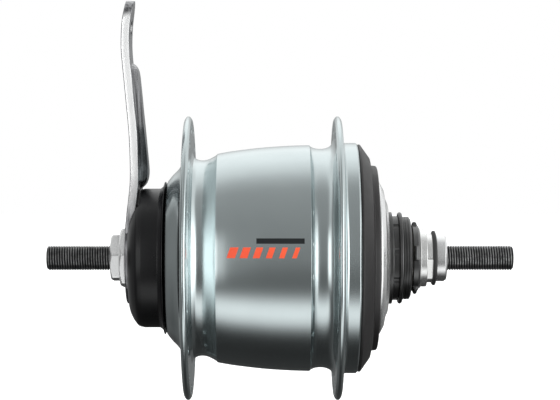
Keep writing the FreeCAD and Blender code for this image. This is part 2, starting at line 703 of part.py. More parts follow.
def right_dust_cap():
    """Bright dished cover that turns with the driver."""
    return turned(
        ("line", (36.9, 28.6), (36.9, 30.2), (39.5, 30.2)),
        ("arc", (39.5, 30.2), (40.7, 28.9), (41.3, 27.0)),
        ("line", (41.9, 23.8), (42.8, 21.8), (43.1, 19.4), (43.1, 17.55)),
        ("line", (41.6, 17.55), (41.6, 19.4), (41.0, 21.8), (40.1, 23.8)),
        ("arc", (39.8, 26.6), (39.3, 28.0), (38.4, 28.6)),
    )


def right_seal_ring():
    """Dark moulded ring that closes the drive end of the shell and turns with it."""
    return turned(
        ("line", (31.05, 41.0), (31.05, 44.9), (31.9, 44.9), (35.7, 39.6), (36.3, 36.6), (37.9, 36.4)),
        ("arc", (37.9, 36.4), (38.55, 35.9), (38.7, 34.8)),
        ("line", (38.7, 30.75), (37.4, 30.75), (37.4, 34.6), (34.9, 34.9), (34.2, 38.3), (32.4, 41.0)),
    )


def right_bearing_cup():
    cup = tube(25.1, 31.4, 37.6, 41.5).cut(race(RING_1_RACE))
    return cup.cut(tube(31.0, 32.0, 40.9, 42.0))


# ---- shift parts and right cone ------------------------------------------------------------------
ROTOR_RANGE = (-54.0, 72.0)
ROTOR_LUG_HALF = 8.0
ROTOR_X = (52.3, 55.2)
ROTOR_BORE = 11.15
SLEEVE_R = 6.0
LINK_X = (52.9, 54.3)


def shift_rotor():
    """Ring that the shift cable's joint turns, with catches outside and two links inside."""
    x0, x1 = ROTOR_X
    ring = turned(
        ("line", (x0, ROTOR_BORE), (x0, 12.5), (x0 + 0.5, 13.2)),
        ("line", (x1 - 1.0, 13.2), (x1, 12.3), (x1, ROTOR_BORE)),
    )
    catch = turned(
        ("line", (x0 + 0.4, 12.0), (x0 + 0.4, 13.9), (x0 + 0.9, 14.4)),
        ("line", (x0 + 1.7, 14.4), (x0 + 2.2, 13.8), (x0 + 2.2, 12.0)),
    )
    for angle in (78.0, 158.0, 238.0, 318.0):
        ring = ring.fuse(catch.common(sector(x0, x1, 11.0, 15.0, angle, angle + 24.0)))
    for angle in (-ROTOR_LUG_HALF, 180.0 - ROTOR_LUG_HALF):
        ring = ring.fuse(sector(*LINK_X, SLEEVE_R, 11.6, angle, angle + 2 * ROTOR_LUG_HALF))
    return ring.removeSplitter()


def control_sleeve():
    """Thin tube round the axle that carries the rotor's turn to the pawl cams."""
    tube_part = tube(27.0, LINK_X[1], AXLE_R + 0.08, SLEEVE_R)
    for tongue in (40.0, 220.0):
        tube_part = tube_part.cut(sector(26.0, 31.0, 4.0, 7.0, tongue, tongue + 60.0))
    return tube_part


def return_spring():
    """Flat spiral spring round the control sleeve, inside the driver."""
    start_r = 6.35
    pitch = 0.85
    strip = 0.4
    steps = 40
    turns = 2.0
    angles = [2 * math.pi * turns * i / steps for i in range(steps + 1)]

    def place(p):
        return V(32.0, p[0] * math.cos(p[1]), p[0] * math.sin(p[1]))

    inner = [(start_r + pitch * a / (2 * math.pi), a) for a in angles]
    outer = [(r + strip, a) for r, a in reversed(inner)]
    wire = Part.Wire(edges_of((("curve", *inner), ("curve", *outer)), place))
    return Part.Face(wire).extrude(V(7.0, 0, 0))


def right_cone():
    """Cone of the drive side: race inside the driver, slots for the rotor's links, wrench flats."""
    race_r = 11.0
    body = turned(
        ("line", (43.6, 6.3), (43.6, race_r - 0.6), (44.2, race_r), (55.3, race_r), (55.35, 11.9)),
        ("line", (55.75, 11.9), (55.8, 11.3), (58.1, 11.3), (58.3, 11.1), (58.3, 9.65), (60.3, 9.65)),
        ("line", (60.5, 9.45)),
        ("line", (60.5, SEAT_BORE), (55.0, SEAT_BORE), (55.0, 6.3)),
    )
    body = body.cut(race(DRIVER_BALLS))
    low = ROTOR_RANGE[0] - ROTOR_LUG_HALF - 2.0
    high = ROTOR_RANGE[1] + ROTOR_LUG_HALF + 2.0
    for side in (0.0, 180.0):
        body = body.cut(sector(LINK_X[0] - 0.3, LINK_X[1] + 0.3, 5.5, 12.0, low + side, high + side))
        flat = Part.makeBox(2.4, 4.0, 30.0, V(58.3, 8.5, -15.0))
        body = body.cut(turn(flat, side + 30.0))
    return body


def lock_washer():
    return turned(("line", (60.5, SEAT_BORE), (60.5, 10.3)),
                  ("arc", (60.5, 10.3), (61.2, 10.8), (61.9, 10.3)),
                  ("line", (61.9, SEAT_BORE)))


def right_locknut():
    x0, x1 = (61.9, LOCKNUT_RIGHT_X)
    blank = turned(("line", (x0, 0), (x0, 9.2), (x0 + 0.3, 9.5), (x1 - 0.7, 9.5), (x1, 8.8), (x1, 0)))
    for side in (0.0, 180.0):
        blank = blank.cut(turn(Part.makeBox(5.0, 4.0, 30.0, V(x0 - 0.1, 8.5, -15.0)), 74.0 + side))
    return locknut(x0, x1, 1, blank)


# ---- write the parts -------------------------------------------------------------------------
def all_parts():
    parts = {
        "axle": axle(),
        "left_locknut": left_locknut(),
        "brake_arm_nut": brake_arm_nut(),
        "brake_arm": brake_arm(),
        "left_dust_cap": left_dust_cap(),
        "brake_cone": brake_cone(),
        "left_bearing_balls": ball_set(LEFT_BALLS),
        "left_ball_cage": ball_cage(LEFT_BALLS, 1.4, -46.0, -40.5),
        "left_bearing_cup": left_bearing_cup(),
        "hub_shell": hub_shell(),
        "brake_drum": brake_drum(),
        "shoe_springs": shoe_springs(),
        "brake_roller_cage": brake_roller_cage(),
        "brake_cam": brake_cam(),
        "clutch_cage": clutch_cage(),
        "clutch_rollers": clutch_rollers(),
        "carrier_left": carrier_left(),
        "carrier_middle": carrier_middle(),
        "carrier_right": carrier_right(),
        "planet_pins_low": pins_low(),
        "planet_pins_high": pins_high(),
        "ring_gear_1": ring_gear_1(),
        "ring_gear_2": ring_gear_2(),
        "driver": driver(),
        "sprocket_snap_ring": snap_ring(),
        "right_dust_cap": right_dust_cap(),
        "right_seal_ring": right_seal_ring(),
        "right_bearing_cup": right_bearing_cup(),
        "right_bearing_balls": ball_set(RING_1_RACE),
        "right_ball_cage": ball_cage(RING_1_RACE, 1.0, 24.9, 29.4),
        "driver_bearing_balls": ball_set(DRIVER_BALLS),
        "driver_ball_cage": ball_cage(DRIVER_BALLS, 0.8, 45.6, 50.0),
        "shift_rotor": shift_rotor(),
        "control_sleeve": control_sleeve(),
        "return_spring": return_spring(),
        "right_cone": right_cone(),
        "lock_washer": lock_washer(),
        "right_locknut": right_locknut(),
    }
    for number in PAWL_X:
        parts["sun_gear_%d" % number] = sun_gear(number)
        parts["sun_pawl_%d" % number] = sun_pawl(number)
    for index in range(PLANETS):
        parts["planet_low_%d" % (index + 1)] = low_planet(index)
        parts["planet_high_%d" % (index + 1)] = high_planet(index)
    for index in range(SHOES):
        parts["brake_shoe_%d" % (index + 1)] = brake_shoe(index)
        parts["brake_rollers_%d" % (index + 1)] = brake_rollers(index)
    return parts


os.makedirs("parts", exist_ok=True)
for name, shape in all_parts().items():
    shape.exportStep("parts/%s.step" % name)
    solids = shape.Solids
    print("%-22s solids %2d  volume %10.1f  valid %s" % (name, len(solids), shape.Volume, shape.isValid()))
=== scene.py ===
import json
import math
import bmesh
import bpy
import mathutils
import numpy as np
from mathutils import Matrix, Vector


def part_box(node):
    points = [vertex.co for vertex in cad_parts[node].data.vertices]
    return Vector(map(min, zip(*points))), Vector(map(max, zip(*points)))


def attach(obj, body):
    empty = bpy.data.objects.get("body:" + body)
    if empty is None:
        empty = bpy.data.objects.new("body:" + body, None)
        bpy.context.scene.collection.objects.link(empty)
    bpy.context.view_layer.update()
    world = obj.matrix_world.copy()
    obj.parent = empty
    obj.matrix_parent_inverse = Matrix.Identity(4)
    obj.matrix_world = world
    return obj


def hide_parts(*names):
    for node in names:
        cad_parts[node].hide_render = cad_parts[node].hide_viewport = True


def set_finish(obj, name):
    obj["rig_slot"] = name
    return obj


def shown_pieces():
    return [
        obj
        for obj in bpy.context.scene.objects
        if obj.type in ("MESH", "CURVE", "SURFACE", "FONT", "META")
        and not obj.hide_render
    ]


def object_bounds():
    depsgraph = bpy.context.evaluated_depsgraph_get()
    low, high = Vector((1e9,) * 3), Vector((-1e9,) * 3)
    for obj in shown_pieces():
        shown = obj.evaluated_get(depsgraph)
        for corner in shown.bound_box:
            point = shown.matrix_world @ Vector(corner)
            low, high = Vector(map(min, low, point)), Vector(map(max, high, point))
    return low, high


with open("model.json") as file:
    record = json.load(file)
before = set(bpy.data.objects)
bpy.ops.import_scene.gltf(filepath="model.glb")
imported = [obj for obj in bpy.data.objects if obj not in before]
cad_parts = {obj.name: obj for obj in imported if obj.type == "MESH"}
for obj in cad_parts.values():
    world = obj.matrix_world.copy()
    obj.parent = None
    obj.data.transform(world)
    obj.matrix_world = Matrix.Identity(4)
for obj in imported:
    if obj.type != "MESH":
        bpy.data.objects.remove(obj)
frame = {"nodes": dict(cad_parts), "record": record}
cad_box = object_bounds()

# Lengths in this script's tables are millimetres about the axle, which lies on X; MM turns them into metres.
MM = 0.001
FINE = 240               # steps round a large turned piece
MEDIUM = 144             # steps round a small one
SHARP = 32               # degrees between two faces from which the edge between them stays sharp


# ---- places read from the frame ----------------------------------------------------------------
def span(node):
    """First and last X of a CAD node, and its largest radius, in millimetres."""
    low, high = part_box(node)
    return low.x / MM, high.x / MM, max(high.y, high.z) / MM


# ---- rings: turned pieces and their variations ---------------------------------------------------
STRAIGHT = 0.9999        # cosine from which two sides of a corner count as one line
CORNER_SHARE = 0.48      # most of a side that the rounding of one corner may take


def rounded(outline, steps=4):
    """Closed outline of (x, radius, fillet) corners as (x, radius) points, with each corner rounded."""
    points = []
    count = len(outline)
    for i, (x, r, fillet) in enumerate(outline):
        here = np.array((x, r), float)
        if fillet <= 0:
            points.append(here)
            continue
        back = np.array(outline[i - 1][:2], float) - here
        ahead = np.array(outline[(i + 1) % count][:2], float) - here
        back_long = np.linalg.norm(back)
        ahead_long = np.linalg.norm(ahead)
        back = back / back_long
        ahead = ahead / ahead_long
        half = math.acos(max(-STRAIGHT, min(STRAIGHT, float(back @ ahead)))) / 2
        reach = min(fillet / math.tan(half), CORNER_SHARE * back_long, CORNER_SHARE * ahead_long)
        radius = reach * math.tan(half)
        middle = (back + ahead) / np.linalg.norm(back + ahead)
        centre = here + middle * radius / math.sin(half)
        start = here + back * reach - centre
        end = here + ahead * reach - centre
        sweep = math.pi - 2 * half
        for k in range(steps + 1):
            t = k / steps
            spoke = (start * math.sin((1 - t) * sweep) + end * math.sin(t * sweep)) / math.sin(sweep)
            points.append(centre + spoke)
    return points


def flowing(points, between=5):
    """A smooth line through (x, radius) points, as corners with no fillet."""
    given = [np.array(p, float) for p in points]
    given = [2 * given[0] - given[1]] + given + [2 * given[-1] - given[-2]]
    line = []
    for a, b, c, d in zip(given, given[1:], given[2:], given[3:]):
        for k in range(between):
            t = k / between
            p = 0.5 * (2 * b + (c - a) * t + (2 * a - 5 * b + 4 * c - d) * t ** 2
                       + (3 * b - a - 3 * c + d) * t ** 3)
            line.append((p[0], p[1], 0))
    line.append((given[-2][0], given[-2][1], 0))
    return line


def angles(around):
    """Equal steps round a full turn, in radians."""
    return np.linspace(0, 2 * math.pi, around, endpoint=False)


def soften(mesh, sharp_degrees):
    """Smooth shading, with the edges that bend by more than an angle kept sharp."""
    mesh.shade_smooth()
    mesh.set_sharp_from_angle(angle=math.radians(sharp_degrees))


def finish_mesh(name, verts, faces, sharp_degrees):
    """Object from points in metres and faces, with its normals outward."""
    mesh = bpy.data.meshes.new(name)
    mesh.from_pydata(verts, [], faces)
    work = bmesh.new()
    work.from_mesh(mesh)
    bmesh.ops.remove_doubles(work, verts=work.verts, dist=1e-7)
    bmesh.ops.recalc_face_normals(work, faces=work.faces)
    work.to_mesh(mesh)
    work.free()
    soften(mesh, sharp_degrees)
    piece = bpy.data.objects.new(name, mesh)
    bpy.context.scene.collection.objects.link(piece)
    return piece


def bridged(loops, size, closed=False):
    """Faces from each loop of points to the next, and from the last to the first where closed."""
    faces = []
    for i in range(loops if closed else loops - 1):
        this = i * size
        following = (i + 1) % loops * size
        for j in range(size):
            k = (j + 1) % size
            faces.append((this + j, this + k, following + k, following + j))
    return faces


def lofted(name, loops, sharp):
    """Solid through loops of equally many points, with both ends filled."""
    size = len(loops[0])
    verts = [tuple(point) for loop in loops for point in loop]
    faces = [tuple(range(size))[::-1], tuple(range(len(verts) - size, len(verts)))]
    return finish_mesh(name, verts, faces + bridged(len(loops), size), sharp)


def skin(name, rings, around=MEDIUM, sharp=SHARP):
    """Closed skin over rings about the axle; x and radius are numbers or arrays over the angle."""
    angle = angles(around)
    verts = []
    for x, r in rings:
        xs = np.broadcast_to(x, angle.shape)
        rs = np.broadcast_to(r, angle.shape)
        verts.append(np.stack([xs, rs * np.cos(angle), rs * np.sin(angle)], axis=1))
    verts = np.concatenate(verts) * MM
    return finish_mesh(name, verts.tolist(), bridged(len(rings), around, closed=True), sharp)


def turned(name, outline, around=MEDIUM):
    """Turned piece from its closed outline of (x, radius, fillet) corners."""
    return skin(name, rounded(outline), around)


def soft_min(a, b, blend):
    """The smaller of two lengths, with the change between them rounded over blend."""
    h = np.clip(0.5 + 0.5 * (b - a) / blend, 0, 1)
    return b * (1 - h) + a * h - blend * h * (1 - h)


def hexagon_r(across_flats, corner_degrees, around):
    """Radius of a hexagon over the angle."""
    off_middle = np.mod(angles(around) - math.radians(corner_degrees), math.pi / 3) - math.pi / 6
    return across_flats / 2 / np.cos(off_middle)


def two_flats(across_flats, normal_degrees, around):
    """Radius over the angle of two parallel flats, and a large one on the open sides between them."""
    open_side = 99.0
    least = 0.2
    radius = np.full(around, open_side)
    for normal in (normal_degrees, normal_degrees + 180):
        off = np.cos(angles(around) - math.radians(normal))
        flat = np.where(off > least, across_flats / 2 / np.maximum(off, least), open_side)
        radius = np.minimum(radius, flat)
    return radius


def window(around, middle, half_width, edge):
    """1 inside an angular window and 0 outside, with soft edges; all in degrees."""
    off = np.abs((np.degrees(angles(around)) - middle + 180) % 360 - 180)
    t = np.clip((half_width - off) / edge + 0.5, 0, 1)
    return t * t * (3 - 2 * t)


def place(piece, body, slot, *nodes):
    """A piece rides on a body, takes a slot's finish and stands for the CAD nodes named."""
    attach(piece, body)
    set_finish(piece, slot)
    if nodes:
        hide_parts(*nodes)
    return piece


# ---- the shell ---------------------------------------------------------------------------------
FLANGE_LEFT = -35.4      # middle of each flange in X
FLANGE_RIGHT = 23.2
FLANGE_HALF = 1.4        # half of a flange's thickness
SPOKE_PCD_LEFT = 102.6   # circles through the middles of the spoke holes
SPOKE_PCD_RIGHT = 101.4
SPOKES = 18              # holes in each flange
SPOKE_HOLE = 1.45        # radius of a hole, and how much wider it flares at the flange's faces
SPOKE_FLARE = 0.45
BARREL = [(-23.8, 41.2), (-19.0, 42.05), (-12.6, 42.9), (-6.3, 43.6), (0.0, 44.07), (6.3, 44.4),
          (12.0, 44.55)]


def flange_outline(x, rim, foot_left, foot_right):
    """Outline of a flange up its left face, over its rounded rim and down its right face."""
    return [(x - FLANGE_HALF, foot_left, 2.6), (x - FLANGE_HALF, rim - 1.3, 1.3), (x - 0.5, rim, 0.9),
            (x + 0.5, rim, 0.9), (x + FLANGE_HALF, rim - 1.3, 1.3), (x + FLANGE_HALF, foot_right, 2.6)]


def shell_outline():
    """Outside from left to right, then inside back from right to left."""
    left, right, rim = span("hub_shell")
    outside = [(left, 21.0, 0.2), (left, 27.8, 0.5)]
    outside += flowing([(left + 0.4, 28.5), (-43.5, 30.2), (-42.4, 31.7), (-41.2, 33.1), (-39.6, 34.7),
                        (-38.2, 36.6), (-37.3, 38.8)])
    outside += flange_outline(FLANGE_LEFT, rim, 41.6, 41.4)
    outside += flowing([(-33.1, 39.6), (-31.6, 38.8), (-29.6, 38.55), (-27.6, 38.95), (-25.6, 39.9),
                        (-24.4, 40.65)])
    outside += [(-23.95, 41.15, 0.25)] + flowing(BARREL)[1:-1]
    outside += [(12.1, 44.55, 0.3), (12.7, 43.95, 0.3)]
    outside += flowing([(13.4, 43.6), (14.7, 43.25), (16.4, 43.1), (18.4, 43.3), (20.2, 44.1), (21.1, 45.2)])
    outside += flange_outline(FLANGE_RIGHT, rim, 47.0, 47.2)
    outside += [(25.6, 45.4, 1.2), (right - 0.7, 45.4, 0.35), (right, 44.7, 0.2)]
    inside = [(right, 41.5, 0.2), (25.0, 41.5, 0), (24.2, 38.0, 0), (-10.0, 38.0, 0), (-10.0, 37.1, 0),
              (-19.0, 37.1, 0), (-20.0, 35.2, 0), (-36.6, 35.2, 0), (-36.6, 33.1, 0), (-38.2, 32.5, 0),
              (-38.6, 21.0, 0.2)]
    return outside + inside


def round_cutter(name, centre, outline, steps):
    """Cutter of round section along X, from (distance, radius) rows about a centre."""
    loops = []
    for across, r in outline:
        ring = [(across, r * math.cos(a), r * math.sin(a)) for a in angles(steps)]
        loops.append((np.array(centre) + ring) * MM)
    return lofted(name, loops, SHARP)


def spoke_cutters(name, x, pcd, first_degrees):
    """Cutters for one flange's spoke holes, each flared where it leaves the flange on either side."""
    flare = SPOKE_HOLE + SPOKE_FLARE
    straight = FLANGE_HALF - 0.42
    clear = 3.0
    outline = [(-clear, flare + 1.6), (-FLANGE_HALF, flare), (-straight, SPOKE_HOLE), (straight, SPOKE_HOLE),
               (FLANGE_HALF, flare), (clear, flare + 1.6)]
    cutters = []
    for i in range(SPOKES):
        turn = math.radians(first_degrees + 360 / SPOKES * i)
        centre = (x, pcd / 2 * math.cos(turn), pcd / 2 * math.sin(turn))
        cutters.append(round_cutter("%s%d" % (name, i), centre, outline, 20))
    return cutters


def carve(piece, cutters, how="DIFFERENCE"):
    """Cut a piece with other meshes, or join them to it, and leave one plain mesh."""
    group = bpy.data.collections.new("cutters")
    bpy.context.scene.collection.children.link(group)
    for cutter in cutters:
        group.objects.link(cutter)
    change = piece.modifiers.new("carve", "BOOLEAN")
    change.operation = how
    change.operand_type = "COLLECTION"
    change.collection = group
    change.solver = "EXACT"
    graph = bpy.context.evaluated_depsgraph_get()
    made = bpy.data.meshes.new_from_object(piece.evaluated_get(graph))
    piece.modifiers.clear()
    piece.data = made
    for cutter in cutters:
        bpy.data.objects.remove(cutter)
    bpy.data.collections.remove(group)


def make_shell():
    """Shell with both flanges; the right one's holes lie half a pitch on from the left one's."""
    shell = turned("shell_visual", shell_outline(), FINE)
    cutters = spoke_cutters("cut_l", FLANGE_LEFT, SPOKE_PCD_LEFT, 0.0)
    cutters += spoke_cutters("cut_r", FLANGE_RIGHT, SPOKE_PCD_RIGHT, 180 / SPOKES)
    carve(shell, cutters)
    soften(shell.data, SHARP)
    return place(shell, "shell", "shell_satin_silver", "hub_shell")


# ---- black cap, seal ring and covers ---------------------------------------------------------------
CAP_DOME = [(-58.4, 20.2), (-57.9, 22.0), (-57.0, 23.9), (-55.8, 25.7), (-54.7, 26.8), (-52.6, 27.4)]
CAP_RECESS = 18.2
CAP_CHANNEL = (-54.0, 17.7, 5.0)     # floor x, half width and lowest z of the way out for the arm
CAP_CLEAR = (-66.0, 32.0)            # x and z beyond the cap, where the channel's cutter ends


def make_left_cap():
    """Domed cap with a flat recess for the arm's foot and a lip that flares beside the shell."""
    outline = [(-56.1, 12.1, 0.1), (-56.1, CAP_RECESS, 0.2), (-58.6, CAP_RECESS, 0.25)]
    outline += flowing(CAP_DOME)
    outline += [(-46.4, 27.4, 0.9), (-45.2, 28.4, 0.8), (-44.75, 30.0, 0.15), (-44.35, 30.15, 0.1),
                (-45.0, 27.7, 0.3), (-46.6, 25.8, 0.5), (-50.6, 25.8, 1.2), (-52.4, 23.6, 0.4),
                (-52.4, 12.1, 0.1)]
    cap = turned("left_cap_visual", outline, FINE)
    floor_x, half, low = CAP_CHANNEL
    clear_x, clear_z = CAP_CLEAR
    carve(cap, [box_cutter("cap_channel", (clear_x, floor_x), (-half, half), (low, clear_z))])
    soften(cap.data, SHARP)
    return place(cap, "axle_set", "black_cap", "left_dust_cap")


def box_cutter(name, xs, ys, zs):
    """Box between two values on each axis."""
    verts = [(x * MM, y * MM, z * MM) for x in xs for y in ys for z in zs]
    faces = [(0, 1, 3, 2), (4, 6, 7, 5), (0, 4, 5, 1), (2, 3, 7, 6), (0, 2, 6, 4), (1, 5, 7, 3)]
    return finish_mesh(name, verts, faces, 30)


def make_seal_ring():
    """Dark ring pressed into the shell's right end, with a sloped rim and a step."""
    outline = [(31.1, 41.0, 0), (31.1, 44.85, 0.35), (31.95, 44.85, 0.5), (35.7, 39.6, 0.8),
               (36.3, 36.55, 0.5), (38.6, 36.35, 0.8), (38.65, 30.8, 0.3), (37.4, 30.8, 0.2),
               (37.4, 34.6, 0.3), (34.9, 34.9, 0.3), (34.2, 38.3, 0.3), (32.4, 41.0, 0.2)]
    return place(turned("seal_ring_visual", outline, FINE), "shell", "dark_moulding", "right_seal_ring")


def make_right_cover():
    """Bright domed cover that turns with the driver, and ends in a lip."""
    outline = [(36.9, 28.6, 0.1), (36.9, 30.15, 0.2), (39.6, 30.15, 0.9), (41.2, 27.2, 0.6),
               (41.85, 23.8, 0.5), (42.75, 21.8, 0.5), (43.05, 19.4, 0.4), (43.05, 17.6, 0.15),
               (41.6, 17.6, 0.1), (41.6, 19.4, 0.3), (41.0, 21.8, 0.3), (40.1, 23.8, 0.3), (38.4, 28.6, 0.3)]
    return place(turned("right_cover_visual", outline, FINE), "driver_set", "bright_cover", "right_dust_cap")


# ---- axle with its rolled thread ---------------------------------------------------------------------
PITCH = 1.0
THREAD_R = 5.0
THREAD_DEPTH = 0.6
THREAD_STEP = 0.1        # distance between two rings along the thread
FLATS = 9.4              # across the two flats, and the direction that one of them faces
FLAT_NORMAL = -135.0
FLANK = 1.32             # slope of the thread's flanks, and how wide its crests are left
CREST = 0.14
TIP_LONG = 1.2           # rounded tip: its length, the length that its curve is drawn with, and its fall
TIP_CURVE = 1.3
TIP_FALL = 1.84
TIP_START = 0.15         # how far inside the crests the tip's curve begins
TIP_R = 3.1              # flat end of the axle, and the small circle round its middle
TIP_MIDDLE_R = 1.6
SEAT_R = 4.7             # axle under the nuts, and the bore of what is screwed or pushed on there
NUT_BORE = 4.72
COLLAR_R = 6.5           # thicker middle of the axle, and its ends in X
COLLAR = (-22.0, 26.4)
RELIEF = 0.3             # the full thread ends this far outside each locknut


def thread_end(x0, x1, tip_x, around):
    """Rings of a threaded stub; the crest follows a helix, cut by two flats and a rounded tip."""
    flats = two_flats(FLATS, FLAT_NORMAL, around)
    rings = []
    for x in np.arange(x0, x1 + 1e-6, THREAD_STEP):
        phase = np.mod(x / PITCH - angles(around) / (2 * math.pi), 1.0)
        groove = np.clip(FLANK * (1 - 2 * np.abs(phase - 0.5)) - CREST, 0, 1)
        r = np.minimum(THREAD_R - THREAD_DEPTH * groove, flats)
        inset = max(0.0, TIP_LONG - abs(x - tip_x))
        rounding = 1 - math.sqrt(max(0.0, 1 - (inset / TIP_CURVE) ** 2))
        rings.append((x, np.minimum(r, THREAD_R - TIP_START - TIP_FALL * rounding)))
    return rings


def make_axle():
    """Axle with a collar inside the hub, plain seats for the nuts and a thread on each end."""
    around = 96
    left, right, _ = span("axle")
    free_left = span("left_locknut")[0] - RELIEF
    free_right = span("right_locknut")[1] + RELIEF
    rings = [(left, 0.0), (left, TIP_MIDDLE_R), (left + 0.02, TIP_R)]
    rings += thread_end(left + 0.05, free_left - 0.02, left, around)
    collar_left, collar_right = COLLAR
    rings += [(free_left, SEAT_R), (collar_left, SEAT_R), (collar_left, COLLAR_R)]
    rings += [(collar_right, COLLAR_R), (collar_right, SEAT_R), (free_right, SEAT_R)]
    rings += thread_end(free_right + 0.02, right - 0.05, right, around)
    rings += [(right - 0.02, TIP_R), (right, TIP_MIDDLE_R), (right, 0.0)]
    piece = skin("axle_visual", rings, around, 50)
    return place(piece, "axle_set", "black_oxide_steel", "axle")


# ---- nuts and cone --------------------------------------------------------------------------------
NUT_STEPS = 192          # steps round a piece with wrench flats, a multiple of six
NUT_CORNER = -129.2      # direction of the left locknut's corner, and how far the arm nut is turned from it
ARM_NUT_TURN = 0.8
LOCKNUT_ACROSS = 17.0    # across the flats of the two hexagons
ARM_NUT_ACROSS = 22.0
NUT_LAND = 0.96          # flat of a hexagon's outer face, as a share of its width
NUT_SHARP = 28
CHAMFER_SLOPE = 0.55     # how far a corner's chamfer goes along the axle for each millimetre outward
WRENCH_FLATS = 17.0      # across the flats of the right cone and the right locknut
CONE_FLAT_NORMAL = 30.0
LOCKNUT_FLAT_NORMAL = 74.0


def make_hex_nut(name, node, across, corner):
    """Hexagon with turned corners on its outer face and softly rolled edges."""
    x0, x1, _ = span(node)
    hexagon = hexagon_r(across, corner, NUT_STEPS)
    corner_r = across / math.sqrt(3)
    land = across / 2 * NUT_LAND
    edge_x, edge_r = 0.12, 0.22
    rings = [(x0, soft_min(hexagon, land, 0.12)), (x0 + edge_x, soft_min(hexagon, land + edge_r, 0.12))]
    for share in np.linspace(0.12, 1, 6):
        x = x0 + edge_x + (corner_r - land) * CHAMFER_SLOPE * share
        rings.append((x, soft_min(hexagon, land + edge_r + (corner_r - land) * share, 0.25)))
    body_r = soft_min(hexagon, corner_r + 0.02, 0.25)
    rings += [(x1 - 0.25, body_r), (x1 - 0.08, body_r - 0.06), (x1, body_r - edge_r)]
    rings += [(x1, NUT_BORE), (x0 + 0.6, NUT_BORE), (x0 + 0.25, NUT_BORE + 0.25), (x0, NUT_BORE + 0.6)]
    piece = skin(name, rings, NUT_STEPS, NUT_SHARP)
    return place(piece, "axle_set", "zinc_plated_steel", node)


def make_right_cone():
    """Cone with a collar, a seat for the cable joint and a neck with two wrench flats."""
    x0, x1, _ = span("right_cone")
    neck = 58.3
    flats = two_flats(WRENCH_FLATS, CONE_FLAT_NORMAL, NUT_STEPS)
    outline = [(x0, 6.3, 0.1), (x0, 10.4, 0.1), (x0 + 0.6, 11.0, 0.1), (55.28, 11.0, 0.05),
               (55.33, 11.9, 0.12), (55.75, 11.9, 0.12), (55.8, 11.3, 0.03), (58.2, 11.3, 0.25),
               (neck, 9.65, 0.05), (x1, 9.65, 0.25), (x1, NUT_BORE, 0.1), (55.0, NUT_BORE, 0.1),
               (55.0, 6.3, 0.1)]
    rings = []
    for x, r in rounded(outline):
        on_neck = x > neck + 0.02 and r > NUT_BORE + 2
        rings.append((x, soft_min(r, flats, 0.12) if on_neck else r))
    return place(skin("right_cone_visual", rings, NUT_STEPS), "axle_set", "bright_cone", "right_cone")


def make_washer():
    """Rubber washer with round shoulders."""
    x0, x1, r = span("lock_washer")
    outline = [(x0, NUT_BORE, 0), (x0, r, 0.65), (x1, r, 0.65), (x1, NUT_BORE, 0)]
    return place(turned("washer_visual", outline), "axle_set", "rubber_black", "lock_washer")


def make_right_locknut():
    """Round locknut with two wrench flats and a chamfered outer face."""
    x0, x1, _ = span("right_locknut")
    flats = two_flats(WRENCH_FLATS, LOCKNUT_FLAT_NORMAL, NUT_STEPS)
    outline = [(x0, NUT_BORE, 0.1), (x0, 9.4, 0.25), (x1 - 0.65, 9.4, 0.25), (x1, 8.7, 0.15), (x1, 5.6, 0.1),
               (x1 - 0.6, NUT_BORE, 0.1)]
    rings = [(x, soft_min(r, flats, 0.1) if r > NUT_BORE + 2 else r) for x, r in rounded(outline)]
    piece = skin("right_locknut_visual", rings, NUT_STEPS)
    return place(piece, "axle_set", "zinc_plated_steel", "right_locknut")


# ---- driver side ------------------------------------------------------------------------------------
SEAT_X = (44.6, 46.99)   # the sprocket's seat between its two shoulders
SEAT_GROOVES = 9         # shallow grooves across the seat, and their depth
GROOVE_DEPTH = 0.55
ROTOR_BORE = 11.2
ROTOR_R = 13.15
CATCHES = (90.0, 170.0, 250.0, 330.0)    # directions of the rotor's catches, in degrees
CATCH_HALF = 12.0        # half width of a catch in degrees, and how far it stands out of the rotor
CATCH_HIGH = 1.25
SNAP_ENDS = (41, 381)    # the snap ring runs between these angles, in degrees


def make_driver():
    """Sprocket carrier with shallow grooves across its seat and fine turned ridges."""
    around = 270
    outline = [(30.2, 8.6, 0), (30.2, 31.4, 0.2), (33.0, 31.4, 0.2), (33.0, 17.5, 0.3), (43.2, 17.5, 0),
               (43.2, 18.1, 0.2), (44.6, 18.1, 0.25), (44.65, 16.6, 0.15), (45.2, 16.6, 0), (45.8, 16.6, 0),
               (46.4, 16.6, 0), (46.97, 16.6, 0.12), (47.0, 15.6, 0.05), (48.6, 15.6, 0.05),
               (48.62, 16.3, 0.15), (49.2, 16.3, 0.1), (49.3, 16.12, 0.05), (49.5, 16.12, 0.05),
               (49.6, 16.3, 0.1), (50.3, 16.3, 0.1), (50.4, 16.12, 0.05), (50.6, 16.12, 0.05),
               (50.7, 16.3, 0.1), (51.3, 16.25, 0.3), (51.85, 15.4, 0.4), (52.0, 14.2, 0.1),
               (43.0, 14.2, 0.1), (42.0, 8.6, 0)]
    step = 360 // SEAT_GROOVES
    grooves = sum(window(around, 10 + step * i, 3.4, 1.6) for i in range(SEAT_GROOVES))
    rings = []
    for x, r in rounded(outline, 3):
        in_seat = SEAT_X[0] < x < SEAT_X[1] and r > 15.7
        rings.append((x, r - GROOVE_DEPTH * grooves if in_seat else r))
    return place(skin("driver_visual", rings, around), "driver_set", "black_driver", "driver")


